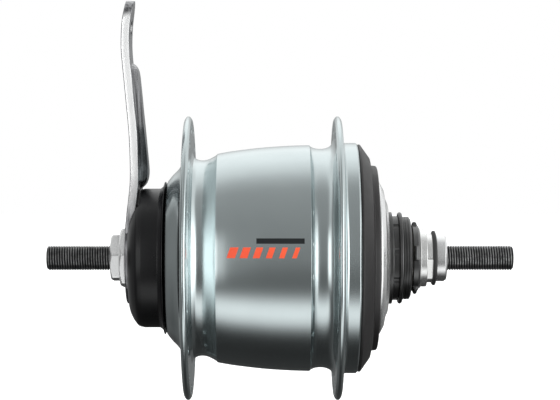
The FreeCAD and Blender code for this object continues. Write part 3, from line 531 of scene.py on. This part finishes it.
def make_rotor():
    """Shift rotor ring with four outer catches whose corners are rounded."""
    x0, x1, _ = span("shift_rotor")
    around = 288
    catches = sum(window(around, middle, CATCH_HALF, 3.0) for middle in CATCHES)
    shoulder = 0.45
    outline = [(x0, ROTOR_BORE, 0.1), (x0, 12.6, 0.3), (x0 + shoulder, ROTOR_R, 0.2),
               (x0 + 0.5, ROTOR_BORE, 0)]
    rings = rounded(outline, 3)[:-1]
    for x in np.linspace(x0 + shoulder, x0 + 2.25, 12):
        bulge = math.sqrt(max(0.0, 1 - ((x - x0 - 1.35) / 0.92) ** 2))
        rings.append((x, ROTOR_R + CATCH_HIGH * bulge * catches))
    rings += [(x1 - 0.5, 13.0), (x1 - 0.2, 12.7), (x1, 12.3), (x1, ROTOR_BORE)]
    return place(skin("rotor_visual", rings, around), "shifter", "dark_rotor", "shift_rotor")


def make_snap_ring():
    """Round wire ring with a gap, its ends domed."""
    x0, x1, crown = span("sprocket_snap_ring")
    wire = (x1 - x0) / 2 * 0.98
    middle_r = crown - wire
    start, end = (math.radians(degrees) for degrees in SNAP_ENDS)
    steps = 160
    loops = []
    for i in range(steps + 1):
        t = i / steps
        a = start + (end - start) * t
        to_end = min(t, 1 - t) * (end - start) * middle_r
        r_here = wire * math.sqrt(max(0.02, 1 - max(0.0, 1 - to_end / wire) ** 2))
        loop = []
        for b in angles(20):
            r = middle_r + r_here * math.cos(b)
            x = (x0 + x1) / 2 + r_here * math.sin(b)
            loop.append((x * MM, r * math.cos(a) * MM, r * math.sin(a) * MM))
        loops.append(loop)
    piece = lofted("snap_ring_visual", loops, 50)
    return place(piece, "driver_set", "black_driver", "sprocket_snap_ring")


# ---- brake arm -----------------------------------------------------------------------------------------
ARM_THICK = 3.4
ARM_ROUND = 0.5          # radius of the arm's rounded edges
# Tables over the height Z: X of the arm's outer face, half of its width, and X of the rib's crest.
ARM_EDGE = [(9.0, -59.55), (13.0, -59.35), (16.7, -59.0), (23.7, -58.25), (30.5, -57.75), (40.0, -57.95),
            (50.0, -58.5), (60.0, -59.5), (71.0, -60.6), (80.0, -61.5), (86.0, -61.7), (93.3, -61.3),
            (101.5, -60.1)]
ARM_HALF = [(9.0, 17.1), (22.0, 15.8), (40.0, 12.6), (58.0, 11.0), (76.0, 9.8), (93.0, 8.5), (101.5, 8.5)]
ARM_TIP_R = 8.5
RIB_CREST = [(26.9, -54.8), (28.8, -52.7), (31.0, -51.6), (33.8, -51.15), (37.0, -51.3), (43.5, -51.9),
             (52.0, -52.75), (59.9, -53.55), (68.5, -54.4), (73.3, -55.0), (75.7, -55.9), (77.0, -57.6)]
RIB_HALF = 8.2
RIB_SLOPE = 3.2          # width of the rib's flank, and the length over which it runs out at either end
RIB_RUN_OUT = 3.0
# Heights at which the arm is drawn, as first, last and how many; closest where the rib begins and ends.
ARM_HEIGHTS = [(10.0, 26.5, 22), (26.8, 33.0, 24), (33.8, 72.0, 46), (72.4, 77.4, 22), (78.2, 93.0, 20)]
ARM_FOOT_X = (-59.6, -56.2)
ARM_FOOT_R = 18.0
CLIP_HOLE = (91.0, 3.25)     # height of its middle, and its radius


def along(table, z):
    """Smooth value of a table of (z, value) at z."""
    heights = [row[0] for row in table]
    line = np.array([p[:2] for p in flowing(table, 8)])
    return float(np.interp(np.clip(z, heights[0], heights[-1]), line[:, 0], line[:, 1]))


def arm_section(z, tip_z):
    """One closed loop round the arm at height z: outer face, edge, ribbed inner face, edge."""
    half = along(ARM_HALF, z)
    into_tip = z - (tip_z - ARM_TIP_R)
    if into_tip > 0:
        half = math.sqrt(max(0.0, ARM_TIP_R ** 2 - into_tip ** 2))
    outer = along(ARM_EDGE, z)
    inner = outer + ARM_THICK
    edge = min(ARM_ROUND, half * 0.9)
    to_rib_end = min(z - RIB_CREST[0][0], RIB_CREST[-1][0] - z)
    crest = max(0.0, along(RIB_CREST, z) - inner) if to_rib_end > 0 else 0.0
    rib_half = RIB_HALF * min(1.0, math.sqrt(max(0.0, to_rib_end) / RIB_RUN_OUT))

    def rib(y, height, width):
        """How far a rib of this height and half width stands out at y."""
        if width <= 0.2:
            return 0.0
        t = np.clip((width - abs(y)) / RIB_SLOPE, 0, 1)
        return height * t * t * (3 - 2 * t)

    def rounded_edge(face, inward, side, turning):
        """Quarter round beside a face; inward is its direction in X and side the edge's in Y."""
        return [(face + inward * edge * (1 - math.cos(a)), side * (half - edge + edge * math.sin(a)))
                for a in turning]

    across = np.linspace(-1, 1, 41) * (half - edge)
    opening = [math.pi / 2 * k / 6 for k in range(1, 6)]
    closing = [math.pi / 2 * (1 - k / 6) for k in range(1, 6)]
    loop = [(outer + rib(y, max(0.0, crest - 0.3), rib_half - 1.8), y) for y in across[::-1]]
    loop += rounded_edge(outer, 1, -1, opening) + [(outer + ARM_THICK / 2, -half)]
    loop += rounded_edge(inner, -1, -1, closing)
    loop += [(inner + rib(y, crest, rib_half), y) for y in across]
    loop += rounded_edge(inner, -1, 1, opening) + [(outer + ARM_THICK / 2, half)]
    loop += rounded_edge(outer, 1, 1, closing)
    return [(x * MM, y * MM, z * MM) for x, y in loop]


def make_arm():
    """Ribbed strip with a round tip, joined to the round foot on the axle and drilled for the clip."""
    tip_z = span("brake_arm")[2]
    heights = [z for low, high, count in ARM_HEIGHTS for z in np.linspace(low, high, count)]
    tip_turn = np.linspace(0.03, math.pi / 2 - 0.02, 16)
    heights += [tip_z - ARM_TIP_R + ARM_TIP_R * math.sin(a) for a in tip_turn]
    strip = lofted("brake_arm_visual", [arm_section(z, tip_z) for z in heights], 40)
    near, far = ARM_FOOT_X
    outline = [(near, NUT_BORE, 0.1), (near, ARM_FOOT_R, 0.6), (far, ARM_FOOT_R, 0.4), (far, NUT_BORE, 0.1)]
    foot = turned("arm_foot", outline, FINE)
    hole_z, hole_r = CLIP_HOLE
    clip_hole = round_cutter("arm_hole", (-60, 0, hole_z), [(-10, hole_r), (10, hole_r)], 48)
    middle = round_cutter("arm_middle", (-60, 0, 0), [(-15, 12.0), (20, 12.0)], 48)
    carve(strip, [middle])
    carve(strip, [foot], "UNION")
    carve(strip, [clip_hole])
    soften(strip.data, 38)
    return place(strip, "axle_set", "pressed_steel", "brake_arm")


# ---- printed bars on the barrel ------------------------------------------------------------------------
PRINT_LAYERS = (0.004, 0.03)     # heights of the film's two faces above the barrel
LINE_X = (-8.5, 9.5)
LINE_Z = (6.6, 8.6)
PRINT_BARS = 6
BAR_Z = (1.2, 5.2)
BAR_LEAN = 0.35          # slant of the bars' ends, as X over Z
BAR_FIRST = -19.0        # left end of the first bar, and the distance from one bar to the next
BAR_STEP = 4.9
BAR_WIDE = 3.2           # width of the first bar, and how much narrower each one is than the last
BAR_NARROWER = 0.3


def barrel_r(x):
    """Radius of the barrel at x."""
    line = np.array([p[:2] for p in flowing(BARREL, 8)])
    return float(np.interp(x, line[:, 0], line[:, 1]))


def printed_bar(name, x0, x1, z0, z1, lean):
    """Thin printed patch on the barrel's front, -Y; lean slants its ends."""
    across = 24
    up = 8
    verts = []
    for layer in PRINT_LAYERS:
        for i in range(up + 1):
            z = z0 + (z1 - z0) * i / up
            for j in range(across + 1):
                x = x0 + (x1 - x0) * j / across + lean * (z - (z0 + z1) / 2)
                r = barrel_r(x) + layer
                verts.append((x * MM, -math.sqrt(r * r - z * z) * MM, z * MM))
    row = across + 1
    layer_size = row * (up + 1)
    faces = []
    for layer in (0, layer_size):
        for i in range(up):
            for j in range(across):
                a = layer + i * row + j
                faces.append((a, a + 1, a + row + 1, a + row))
    rim = list(range(row)) + [i * row + across for i in range(1, up + 1)]
    rim += [up * row + j for j in range(across - 1, -1, -1)] + [i * row for i in range(up - 1, 0, -1)]
    for a, b in zip(rim, rim[1:] + rim[:1]):
        faces.append((a, b, b + layer_size, a + layer_size))
    return place(finish_mesh(name, verts, faces, 30), "shell", "shell_satin_silver")


# ---- materials ----------------------------------------------------------------------------------------
DEEP = 0.00005           # heights of the materials' bumps, in metres
SHALLOW = 0.00004
MOST = (0.3, 0.7)        # ranges that hold most of a noise's values
MIDDLE = (0.35, 0.65)
PLATED = 0.85            # metallic share of plated and blackened metal


def new_material(name):
    """Material with its node tree and its shader."""
    material = bpy.data.materials.new(name)
    material.use_nodes = True
    tree = material.node_tree
    return material, tree, tree.nodes["Principled BSDF"]


def axes(tree, output):
    """X, Y and Z of the object coordinates, the normal or another output of the coordinates."""
    source = tree.nodes.new("ShaderNodeTexCoord")
    split = tree.nodes.new("ShaderNodeSeparateXYZ")
    tree.links.new(source.outputs[output], split.inputs["Vector"])
    return [split.outputs[axis] for axis in "XYZ"]


def coordinates(tree, scale=(1, 1, 1)):
    """Object coordinates stretched by a scale per axis."""
    source = tree.nodes.new("ShaderNodeTexCoord")
    mapping = tree.nodes.new("ShaderNodeMapping")
    mapping.inputs["Scale"].default_value = scale
    tree.links.new(source.outputs["Object"], mapping.inputs["Vector"])
    return mapping.outputs["Vector"]


def noise(tree, vector, scale, detail=4.0, rough=0.55):
    """Noise from 0 to 1 with a scale, a level of detail and its roughness."""
    texture = tree.nodes.new("ShaderNodeTexNoise")
    texture.inputs["Scale"].default_value = scale
    texture.inputs["Detail"].default_value = detail
    texture.inputs["Roughness"].default_value = rough
    tree.links.new(vector, texture.inputs["Vector"])
    return texture.outputs["Fac"]


def arithmetic(tree, operation, *values):
    """Result of a calculation on numbers or sockets."""
    node = tree.nodes.new("ShaderNodeMath")
    node.operation = operation
    for socket, value in zip(node.inputs, values):
        if isinstance(value, (int, float)):
            socket.default_value = value
        else:
            tree.links.new(value, socket)
    return node.outputs["Value"]


def spread(tree, value, low, high, at_low=0.0, at_high=1.0):
    """A value from low to high as one from at_low to at_high, held at its ends."""
    remap = tree.nodes.new("ShaderNodeMapRange")
    remap.inputs["From Min"].default_value = low
    remap.inputs["From Max"].default_value = high
    remap.inputs["To Min"].default_value = at_low
    remap.inputs["To Max"].default_value = at_high
    tree.links.new(value, remap.inputs["Value"])
    return remap.outputs["Result"]


def mixed(tree, factor, first, second):
    """Blend of two colours, each given as three numbers or as a socket."""
    mix = tree.nodes.new("ShaderNodeMix")
    mix.data_type = "RGBA"
    tree.links.new(factor, mix.inputs["Factor"])
    for side, colour in (("A", first), ("B", second)):
        if isinstance(colour, tuple):
            mix.inputs[side].default_value = (*colour, 1)
        else:
            tree.links.new(colour, mix.inputs[side])
    return mix.outputs["Result"]


def bump(tree, shader, height, strength, distance, under=None):
    """Bump from a height on the shader's normal, over another bump where one is given."""
    node = tree.nodes.new("ShaderNodeBump")
    node.inputs["Strength"].default_value = strength
    node.inputs["Distance"].default_value = distance
    tree.links.new(height, node.inputs["Height"])
    if under is not None:
        tree.links.new(under, node.inputs["Normal"])
    tree.links.new(node.outputs["Normal"], shader.inputs["Normal"])
    return node.outputs["Normal"]


def turned_metal(name, dark, light, roughness, lines, line_bump, metallic=1.0):
    """Metal with fine lines round the axle, soft blotches of tone and a faint grain."""
    material, tree, shader = new_material(name)
    shader.inputs["Metallic"].default_value = metallic
    streaks = noise(tree, coordinates(tree, (lines, 16.0, 16.0)), 1.0, 3.0, 0.6)
    blotches = noise(tree, coordinates(tree), 60.0, 3.0)
    tone = spread(tree, blotches, *MIDDLE)
    tree.links.new(mixed(tree, tone, dark, light), shader.inputs["Base Color"])
    tree.links.new(spread(tree, streaks, *MOST, *roughness), shader.inputs["Roughness"])
    lined = bump(tree, shader, streaks, line_bump, DEEP)
    fine = noise(tree, coordinates(tree), 900.0, 2.0)
    bump(tree, shader, fine, line_bump * 0.6, SHALLOW, lined)
    return material


def plain_metal(name, dark, light, roughness, bump_strength=0.12, metallic=1.0):
    """Pressed or plated metal: cloudy tone, small scuffs and an even grain."""
    material, tree, shader = new_material(name)
    shader.inputs["Metallic"].default_value = metallic
    clouds = noise(tree, coordinates(tree), 90.0, 4.0)
    scuffs = noise(tree, coordinates(tree, (260.0, 260.0, 30.0)), 1.0, 4.0)
    tone = spread(tree, clouds, *MOST)
    tree.links.new(mixed(tree, tone, dark, light), shader.inputs["Base Color"])
    tree.links.new(spread(tree, scuffs, *MOST, *roughness), shader.inputs["Roughness"])
    fine = noise(tree, coordinates(tree), 700.0, 3.0)
    bump(tree, shader, fine, bump_strength, DEEP)
    return material


def sheared_metal(name, dark_face, face, edge, roughness, shaded_below):
    """Pressed strip: drawn faces with lines along it, and brighter, more matt edges where it was cut out.

    The edges carry painted shade towards the foot: their bright colour fades into the faces' darker colour
    between the two heights of shaded_below in metres."""
    material, tree, shader = new_material(name)
    facing = axes(tree, "Normal")[1]
    height = axes(tree, "Object")[2]
    cut_edge = spread(tree, arithmetic(tree, "ABSOLUTE", facing), 0.88, 0.98)
    scuffs = noise(tree, coordinates(tree, (500.0, 500.0, 60.0)), 1.0, 4.0)
    drawn = noise(tree, coordinates(tree, (900.0, 900.0, 12.0)), 1.0, 2.0)
    edge_scuffs_and_shade = arithmetic(tree, "MULTIPLY", cut_edge, spread(tree, scuffs, *MOST, 0.86, 1.0))
    # Painted shade: below these heights the bright edge colour fades into the faces' darker colour.
    edge_scuffs_and_shade = arithmetic(tree, "MULTIPLY", edge_scuffs_and_shade, spread(tree, height, *shaded_below))
    faces = mixed(tree, spread(tree, drawn, 0.38, 0.62), dark_face, face)
    tree.links.new(mixed(tree, edge_scuffs_and_shade, faces, edge), shader.inputs["Base Color"])
    tree.links.new(spread(tree, cut_edge, 0.0, 1.0, 0.92, 0.4), shader.inputs["Metallic"])
    tree.links.new(spread(tree, scuffs, *MOST, *roughness), shader.inputs["Roughness"])
    fine = noise(tree, coordinates(tree), 800.0, 3.0)
    bump(tree, shader, fine, 0.05, DEEP)
    return material


def worn_black(name, dark, bare, roughness, root, crest):
    """Blackened thread: dark in its roots, and rubbed bright here and there along its crests.

    The wear grows from the radius root to the radius crest, both in millimetres."""
    material, tree, shader = new_material(name)
    shader.inputs["Metallic"].default_value = PLATED
    squares = [arithmetic(tree, "MULTIPLY", part, part) for part in axes(tree, "Object")[1:]]
    radius = arithmetic(tree, "SQRT", arithmetic(tree, "ADD", *squares))
    on_crest = spread(tree, radius, root * MM, crest * MM)
    rubs = noise(tree, coordinates(tree, (260.0, 420.0, 420.0)), 1.0, 3.0, 0.7)
    worn = arithmetic(tree, "MULTIPLY", on_crest, spread(tree, rubs, 0.36, 0.7, 0.3, 1.0))
    tree.links.new(mixed(tree, worn, dark, bare), shader.inputs["Base Color"])
    tree.links.new(spread(tree, worn, 0.0, 1.0, *reversed(roughness)), shader.inputs["Roughness"])
    fine = noise(tree, coordinates(tree), 1100.0, 3.0)
    bump(tree, shader, fine, 0.08, SHALLOW)
    return material


def moulded(name, dark, light, roughness, grain=1500.0, bump_strength=0.15, specular=0.5, rings=0.0):
    """Moulded plastic or rubber with a fine spark-eroded grain and slightly uneven shine.

    Where rings is given, it is the strength of fine lines round the axle."""
    material, tree, shader = new_material(name)
    shader.inputs["Specular IOR Level"].default_value = specular
    clouds = noise(tree, coordinates(tree), 45.0, 3.0)
    tone = spread(tree, clouds, *MIDDLE)
    tree.links.new(mixed(tree, tone, dark, light), shader.inputs["Base Color"])
    patches = noise(tree, coordinates(tree), 140.0, 4.0)
    tree.links.new(spread(tree, patches, *MOST, *roughness), shader.inputs["Roughness"])
    fine = noise(tree, coordinates(tree), grain, 2.0)
    under = bump(tree, shader, fine, bump_strength, SHALLOW)
    if rings:
        turning = noise(tree, coordinates(tree, (1300.0, 8.0, 8.0)), 1.0, 2.0)
        bump(tree, shader, turning, rings, DEEP, under)
    return material


# One material for each material slot of the record, and two for the print.
MATERIALS = {
    "shell_satin_silver": turned_metal("satin_shell", (0.555, 0.615, 0.622), (0.575, 0.637, 0.644),
                                       (0.19, 0.215), 5000.0, 0.006),
    "black_oxide_steel": worn_black("black_oxide", (0.02, 0.02, 0.021), (0.42, 0.42, 0.42), (0.22, 0.40),
                                    THREAD_R - 0.45, THREAD_R - 0.1),
    "zinc_plated_steel": plain_metal("bright_zinc", (0.80, 0.80, 0.80), (0.84, 0.84, 0.84), (0.22, 0.28),
                                     bump_strength=0.03, metallic=PLATED),
    # The last pair is the height range, in metres, over which the arm's edges fade into painted shade towards
    # the foot.
    "pressed_steel": sheared_metal("pressed_zinc", (0.13, 0.13, 0.135), (0.34, 0.34, 0.35),
                                   (0.80, 0.80, 0.80), (0.20, 0.30), (0.014, 0.034)),
    "black_cap": moulded("smooth_black", (0.0035, 0.0035, 0.004), (0.006, 0.006, 0.0065), (0.26, 0.34),
                         bump_strength=0.05, specular=0.33),
    "dark_moulding": moulded("dark_grey", (0.014, 0.0128, 0.013), (0.020, 0.0185, 0.0188), (0.42, 0.52),
                             rings=0.1),
    "bright_cover": turned_metal("bright_cover", (0.84, 0.84, 0.84), (0.88, 0.88, 0.88), (0.22, 0.28),
                                 4000.0, 0.01, metallic=PLATED),
    "black_driver": turned_metal("black_phosphate", (0.05, 0.05, 0.05), (0.11, 0.11, 0.11), (0.24, 0.40),
                                 1500.0, 0.12, metallic=PLATED),
    "dark_rotor": turned_metal("dark_plate", (0.10, 0.10, 0.10), (0.16, 0.16, 0.16), (0.22, 0.36),
                               3000.0, 0.08, metallic=0.9),
    "bright_cone": turned_metal("bright_cone", (0.80, 0.80, 0.79), (0.86, 0.86, 0.85), (0.2, 0.26),
                                3000.0, 0.03, metallic=PLATED),
    "rubber_black": moulded("black_rubber", (0.014, 0.014, 0.014), (0.022, 0.022, 0.022), (0.55, 0.7)),
    "hardened_steel": turned_metal("hardened_steel", (0.40, 0.39, 0.38), (0.50, 0.49, 0.48), (0.24, 0.38),
                                   2000.0, 0.08),
    "gear_steel": plain_metal("gear_steel", (0.32, 0.31, 0.30), (0.42, 0.41, 0.40), (0.25, 0.4)),
    "ball_steel": plain_metal("ball_steel", (0.72, 0.72, 0.73), (0.80, 0.80, 0.81), (0.06, 0.12),
                              bump_strength=0.02),
    "cage_plastic": moulded("cage_nylon", (0.58, 0.54, 0.44), (0.66, 0.62, 0.52), (0.4, 0.55)),
    "shoe_bronze": plain_metal("sintered_bronze", (0.42, 0.29, 0.15), (0.55, 0.40, 0.22), (0.35, 0.5),
                               bump_strength=0.3),
    "spring_steel": plain_metal("blued_steel", (0.22, 0.23, 0.27), (0.34, 0.35, 0.38), (0.2, 0.32)),
}
PRINT_ORANGE = moulded("orange_print", (0.60, 0.06, 0.020), (0.68, 0.08, 0.028), (0.40, 0.50),
                       grain=2500.0, bump_strength=0.04)
PRINT_BLACK = moulded("black_print", (0.005, 0.007, 0.008), (0.009, 0.011, 0.012), (0.45, 0.55),
                      grain=2500.0, bump_strength=0.04, specular=0.3)


def dress(piece, material):
    """Give a piece one material alone."""
    piece.data.materials.clear()
    piece.data.materials.append(material)


# ---- build ----------------------------------------------------------------------------------------
make_shell()
make_left_cap()
make_seal_ring()
make_right_cover()
make_axle()
make_hex_nut("left_locknut_visual", "left_locknut", LOCKNUT_ACROSS, NUT_CORNER)
make_hex_nut("arm_nut_visual", "brake_arm_nut", ARM_NUT_ACROSS, NUT_CORNER + ARM_NUT_TURN)
make_right_cone()
make_washer()
make_right_locknut()
make_driver()
make_rotor()
make_snap_ring()
make_arm()
for row in frame["record"]["subparts"]:
    dress(frame["nodes"][row["node"]], MATERIALS[row["material_slot"]])
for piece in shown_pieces():
    if "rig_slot" in piece:
        dress(piece, MATERIALS[piece["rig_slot"]])

dress(printed_bar("print_line", *LINE_X, *LINE_Z, 0.0), PRINT_BLACK)
for i in range(PRINT_BARS):
    x = BAR_FIRST + BAR_STEP * i
    bar = printed_bar("print_bar_%d" % (i + 1), x, x + BAR_WIDE - BAR_NARROWER * i, *BAR_Z, BAR_LEAN)
    dress(bar, PRINT_ORANGE)


# ---- floor, light and camera ------------------------------------------------------------------------
def area_light(name, place_at, size, power):
    """Soft lamp that faces the origin, for the matt surfaces; shiny ones see the studio alone."""
    lamp = bpy.data.lights.new(name, "AREA")
    lamp.shape = "RECTANGLE"
    lamp.size, lamp.size_y = size
    lamp.energy = power
    thing = bpy.data.objects.new(name, lamp)
    bpy.context.scene.collection.objects.link(thing)
    thing.location = place_at
    thing.rotation_euler = (-mathutils.Vector(place_at)).to_track_quat("-Z", "Y").to_euler()
    thing.visible_glossy = False


FLOOR_HALF = 30.0        # half of the floor's side and its distance below the part, in metres
FLOOR_DROP = 0.16
FLOOR_GLOW = 0.62


def make_floor():
    """Pale floor well below the part, lit evenly so that it runs into the backdrop."""
    half = FLOOR_HALF
    z = cad_box[0].z - FLOOR_DROP
    mesh = bpy.data.meshes.new("floor")
    corners = [(-half, -half, z), (half, -half, z), (half, half, z), (-half, half, z)]
    mesh.from_pydata(corners, [], [(0, 1, 2, 3)])
    floor = bpy.data.objects.new("floor", mesh)
    bpy.context.scene.collection.objects.link(floor)
    material, tree, shader = new_material("pale_floor")
    grain = noise(tree, coordinates(tree), 12.0, 4.0)
    tree.links.new(mixed(tree, grain, (0.86, 0.86, 0.86), (0.9, 0.9, 0.9)), shader.inputs["Base Color"])
    shader.inputs["Roughness"].default_value = 0.9
    shader.inputs["Emission Color"].default_value = (1, 1, 1, 1)
    shader.inputs["Emission Strength"].default_value = FLOOR_GLOW
    mesh.materials.append(material)
    floor.visible_glossy = False
    floor.visible_diffuse = False


COOL = 0.985             # red as a share of green and blue in the studio's light


def grey_ramp(tree, factor, stops):
    """Brightness along a factor from (position, value) stops, with a faint cool tint."""
    ramp = tree.nodes.new("ShaderNodeValToRGB")
    tree.links.new(factor, ramp.inputs["Fac"])
    elements = ramp.color_ramp.elements
    for element, (position, value) in zip(elements, (stops[0], stops[-1])):
        element.position = position
        element.color = (value * COOL, value, value, 1)
    for position, value in stops[1:-1]:
        element = elements.new(position)
        element.color = (value * COOL, value, value, 1)
    return ramp.outputs["Color"]


# What shiny surfaces see, going round the axle: degrees above the front, and brightness.
STUDIO = [(-180, 0.26), (-171, 0.14), (-160, 0.05), (-110, 0.035), (-93, 0.045), (-84, 0.10), (-76, 0.33),
          (-68, 0.92), (-58, 1.3), (-49, 1.15), (-41, 0.62), (-34, 0.25), (-26, 0.17), (-15, 0.19), (0, 0.29),
          (30, 0.33), (60, 0.40), (76, 0.44), (88, 0.60), (102, 0.98), (122, 1.3), (148, 1.35), (166, 0.7),
          (180, 0.26)]
# The studio's zones sideways, as (position, brightness) stops. A position along the axle is the share of a
# direction that points left or right, and one in height goes from 0, straight down, to 1, straight up.
BOX_LEFT_ALONG = [(0.3, 0.0), (0.46, 1.0), (0.72, 1.0), (0.84, 0.0)]
BOX_LEFT_HEIGHT = [(0.27, 0.0), (0.4, 1.0), (0.63, 1.0), (0.76, 0.0)]
BOX_RIGHT_ALONG = [(0.3, 0.0), (0.46, 1.0), (0.92, 1.0), (0.98, 0.0)]
BOX_RIGHT_HEIGHT = [(0.12, 0.0), (0.38, 1.0), (0.62, 1.0), (0.88, 0.0)]
BOX_BRIGHT = [(0.0, 2.1), (1.0, 3.0)]    # brightness of the left box and of the right one
LEFT_END = [(0.2, 0.12), (0.5, 0.26), (0.8, 0.26)]
RIGHT_END = [(0.2, 0.04), (0.8, 0.16)]
BEHIND = [(0.1, 0.08), (0.36, 0.14), (0.6, 0.95)]
PLAIN = [(0.08, 0.06), (0.45, 0.28), (0.62, 0.36), (0.92, 0.95)]
# Where one zone runs into the next, as the same shares; FRONT_TO_BEHIND is the share that points backward.
STUDIO_TO_SIDES = (0.3, 0.5)
STUDIO_TO_PLAIN = (0.42, 0.66)
PLAIN_TO_ENDS = (0.72, 0.88)
FRONT_TO_BEHIND = (-0.1, 0.2)
TO_FAR_LEFT = (0.66, 0.84)
LEFT_TO_RIGHT = (-0.1, 0.1)


def soft_box(tree, sideways, height, along_stops, height_stops):
    """How far a direction is inside a soft box."""
    return arithmetic(tree, "MULTIPLY", grey_ramp(tree, sideways, along_stops),
                      grey_ramp(tree, height, height_stops))


def make_world():
    """White backdrop for the eye; shiny surfaces see a soft studio laid out round the axle."""
    world = bpy.data.worlds.new("studio")
    bpy.context.scene.world = world
    world.use_nodes = True
    tree = world.node_tree
    tree.nodes.clear()
    x, y, z = axes(tree, "Generated")
    sideways = arithmetic(tree, "ABSOLUTE", x)
    turn = arithmetic(tree, "ARCTAN2", z, arithmetic(tree, "MULTIPLY", y, -1.0))
    round_axle = spread(tree, turn, -math.pi, math.pi)
    middle = grey_ramp(tree, round_axle, [((degrees + 180) / 360, value) for degrees, value in STUDIO])
    height = spread(tree, z, -1.0, 1.0)
    to_the_right = spread(tree, x, *LEFT_TO_RIGHT)
    box_left = soft_box(tree, sideways, height, BOX_LEFT_ALONG, BOX_LEFT_HEIGHT)
    box_right = soft_box(tree, sideways, height, BOX_RIGHT_ALONG, BOX_RIGHT_HEIGHT)
    left_end = grey_ramp(tree, height, LEFT_END)
    ends = mixed(tree, to_the_right, left_end, grey_ramp(tree, height, RIGHT_END))
    near = mixed(tree, spread(tree, sideways, *STUDIO_TO_PLAIN), middle, grey_ramp(tree, height, PLAIN))
    near = mixed(tree, spread(tree, sideways, *PLAIN_TO_ENDS), near, ends)
    in_box = mixed(tree, to_the_right, box_left, box_right)
    near = mixed(tree, in_box, near, grey_ramp(tree, to_the_right, BOX_BRIGHT))
    sides = mixed(tree, spread(tree, y, *FRONT_TO_BEHIND), near, grey_ramp(tree, height, BEHIND))
    far_left = spread(tree, arithmetic(tree, "MULTIPLY", x, -1.0), *TO_FAR_LEFT)
    sides = mixed(tree, far_left, sides, left_end)
    seen_by_metal = mixed(tree, spread(tree, sideways, *STUDIO_TO_SIDES), middle, sides)
    soft = tree.nodes.new("ShaderNodeBackground")
    tree.links.new(seen_by_metal, soft.inputs["Color"])
    pale = tree.nodes.new("ShaderNodeBackground")
    pale.inputs["Color"].default_value = (1, 1, 1, 1)
    seen = tree.nodes.new("ShaderNodeLightPath")
    blend = tree.nodes.new("ShaderNodeMixShader")
    tree.links.new(seen.outputs["Is Camera Ray"], blend.inputs["Fac"])
    tree.links.new(soft.outputs["Background"], blend.inputs[1])
    tree.links.new(pale.outputs["Background"], blend.inputs[2])
    output = tree.nodes.new("ShaderNodeOutputWorld")
    tree.links.new(blend.outputs["Shader"], output.inputs["Surface"])


CAMERA_X = -0.0049       # metres
CAMERA_DISTANCE = 0.750
CAMERA_HEIGHT = 0.0229
SENSOR = 36.0            # millimetres
LENS = 121.95
SHIFT = 0.025            # share of the picture's width by which the view is moved to the right


def make_camera():
    """Level camera in front of the part, a little above the axle."""
    camera = bpy.data.cameras.new("camera")
    camera.sensor_width = SENSOR
    camera.lens = LENS
    camera.shift_x = SHIFT
    thing = bpy.data.objects.new("camera", camera)
    bpy.context.scene.collection.objects.link(thing)
    thing.location = (CAMERA_X, -CAMERA_DISTANCE, CAMERA_HEIGHT)
    thing.rotation_euler = (math.pi / 2, 0, 0)
    bpy.context.scene.camera = thing


make_floor()
make_world()
make_camera()
area_light("overhead", (0.0, -0.25, 0.85), (1.2, 0.8), 4.0)
area_light("front", (-0.75, -0.95, 0.3), (0.9, 0.7), 13.0)
bpy.context.scene.view_settings.view_transform = "Standard"
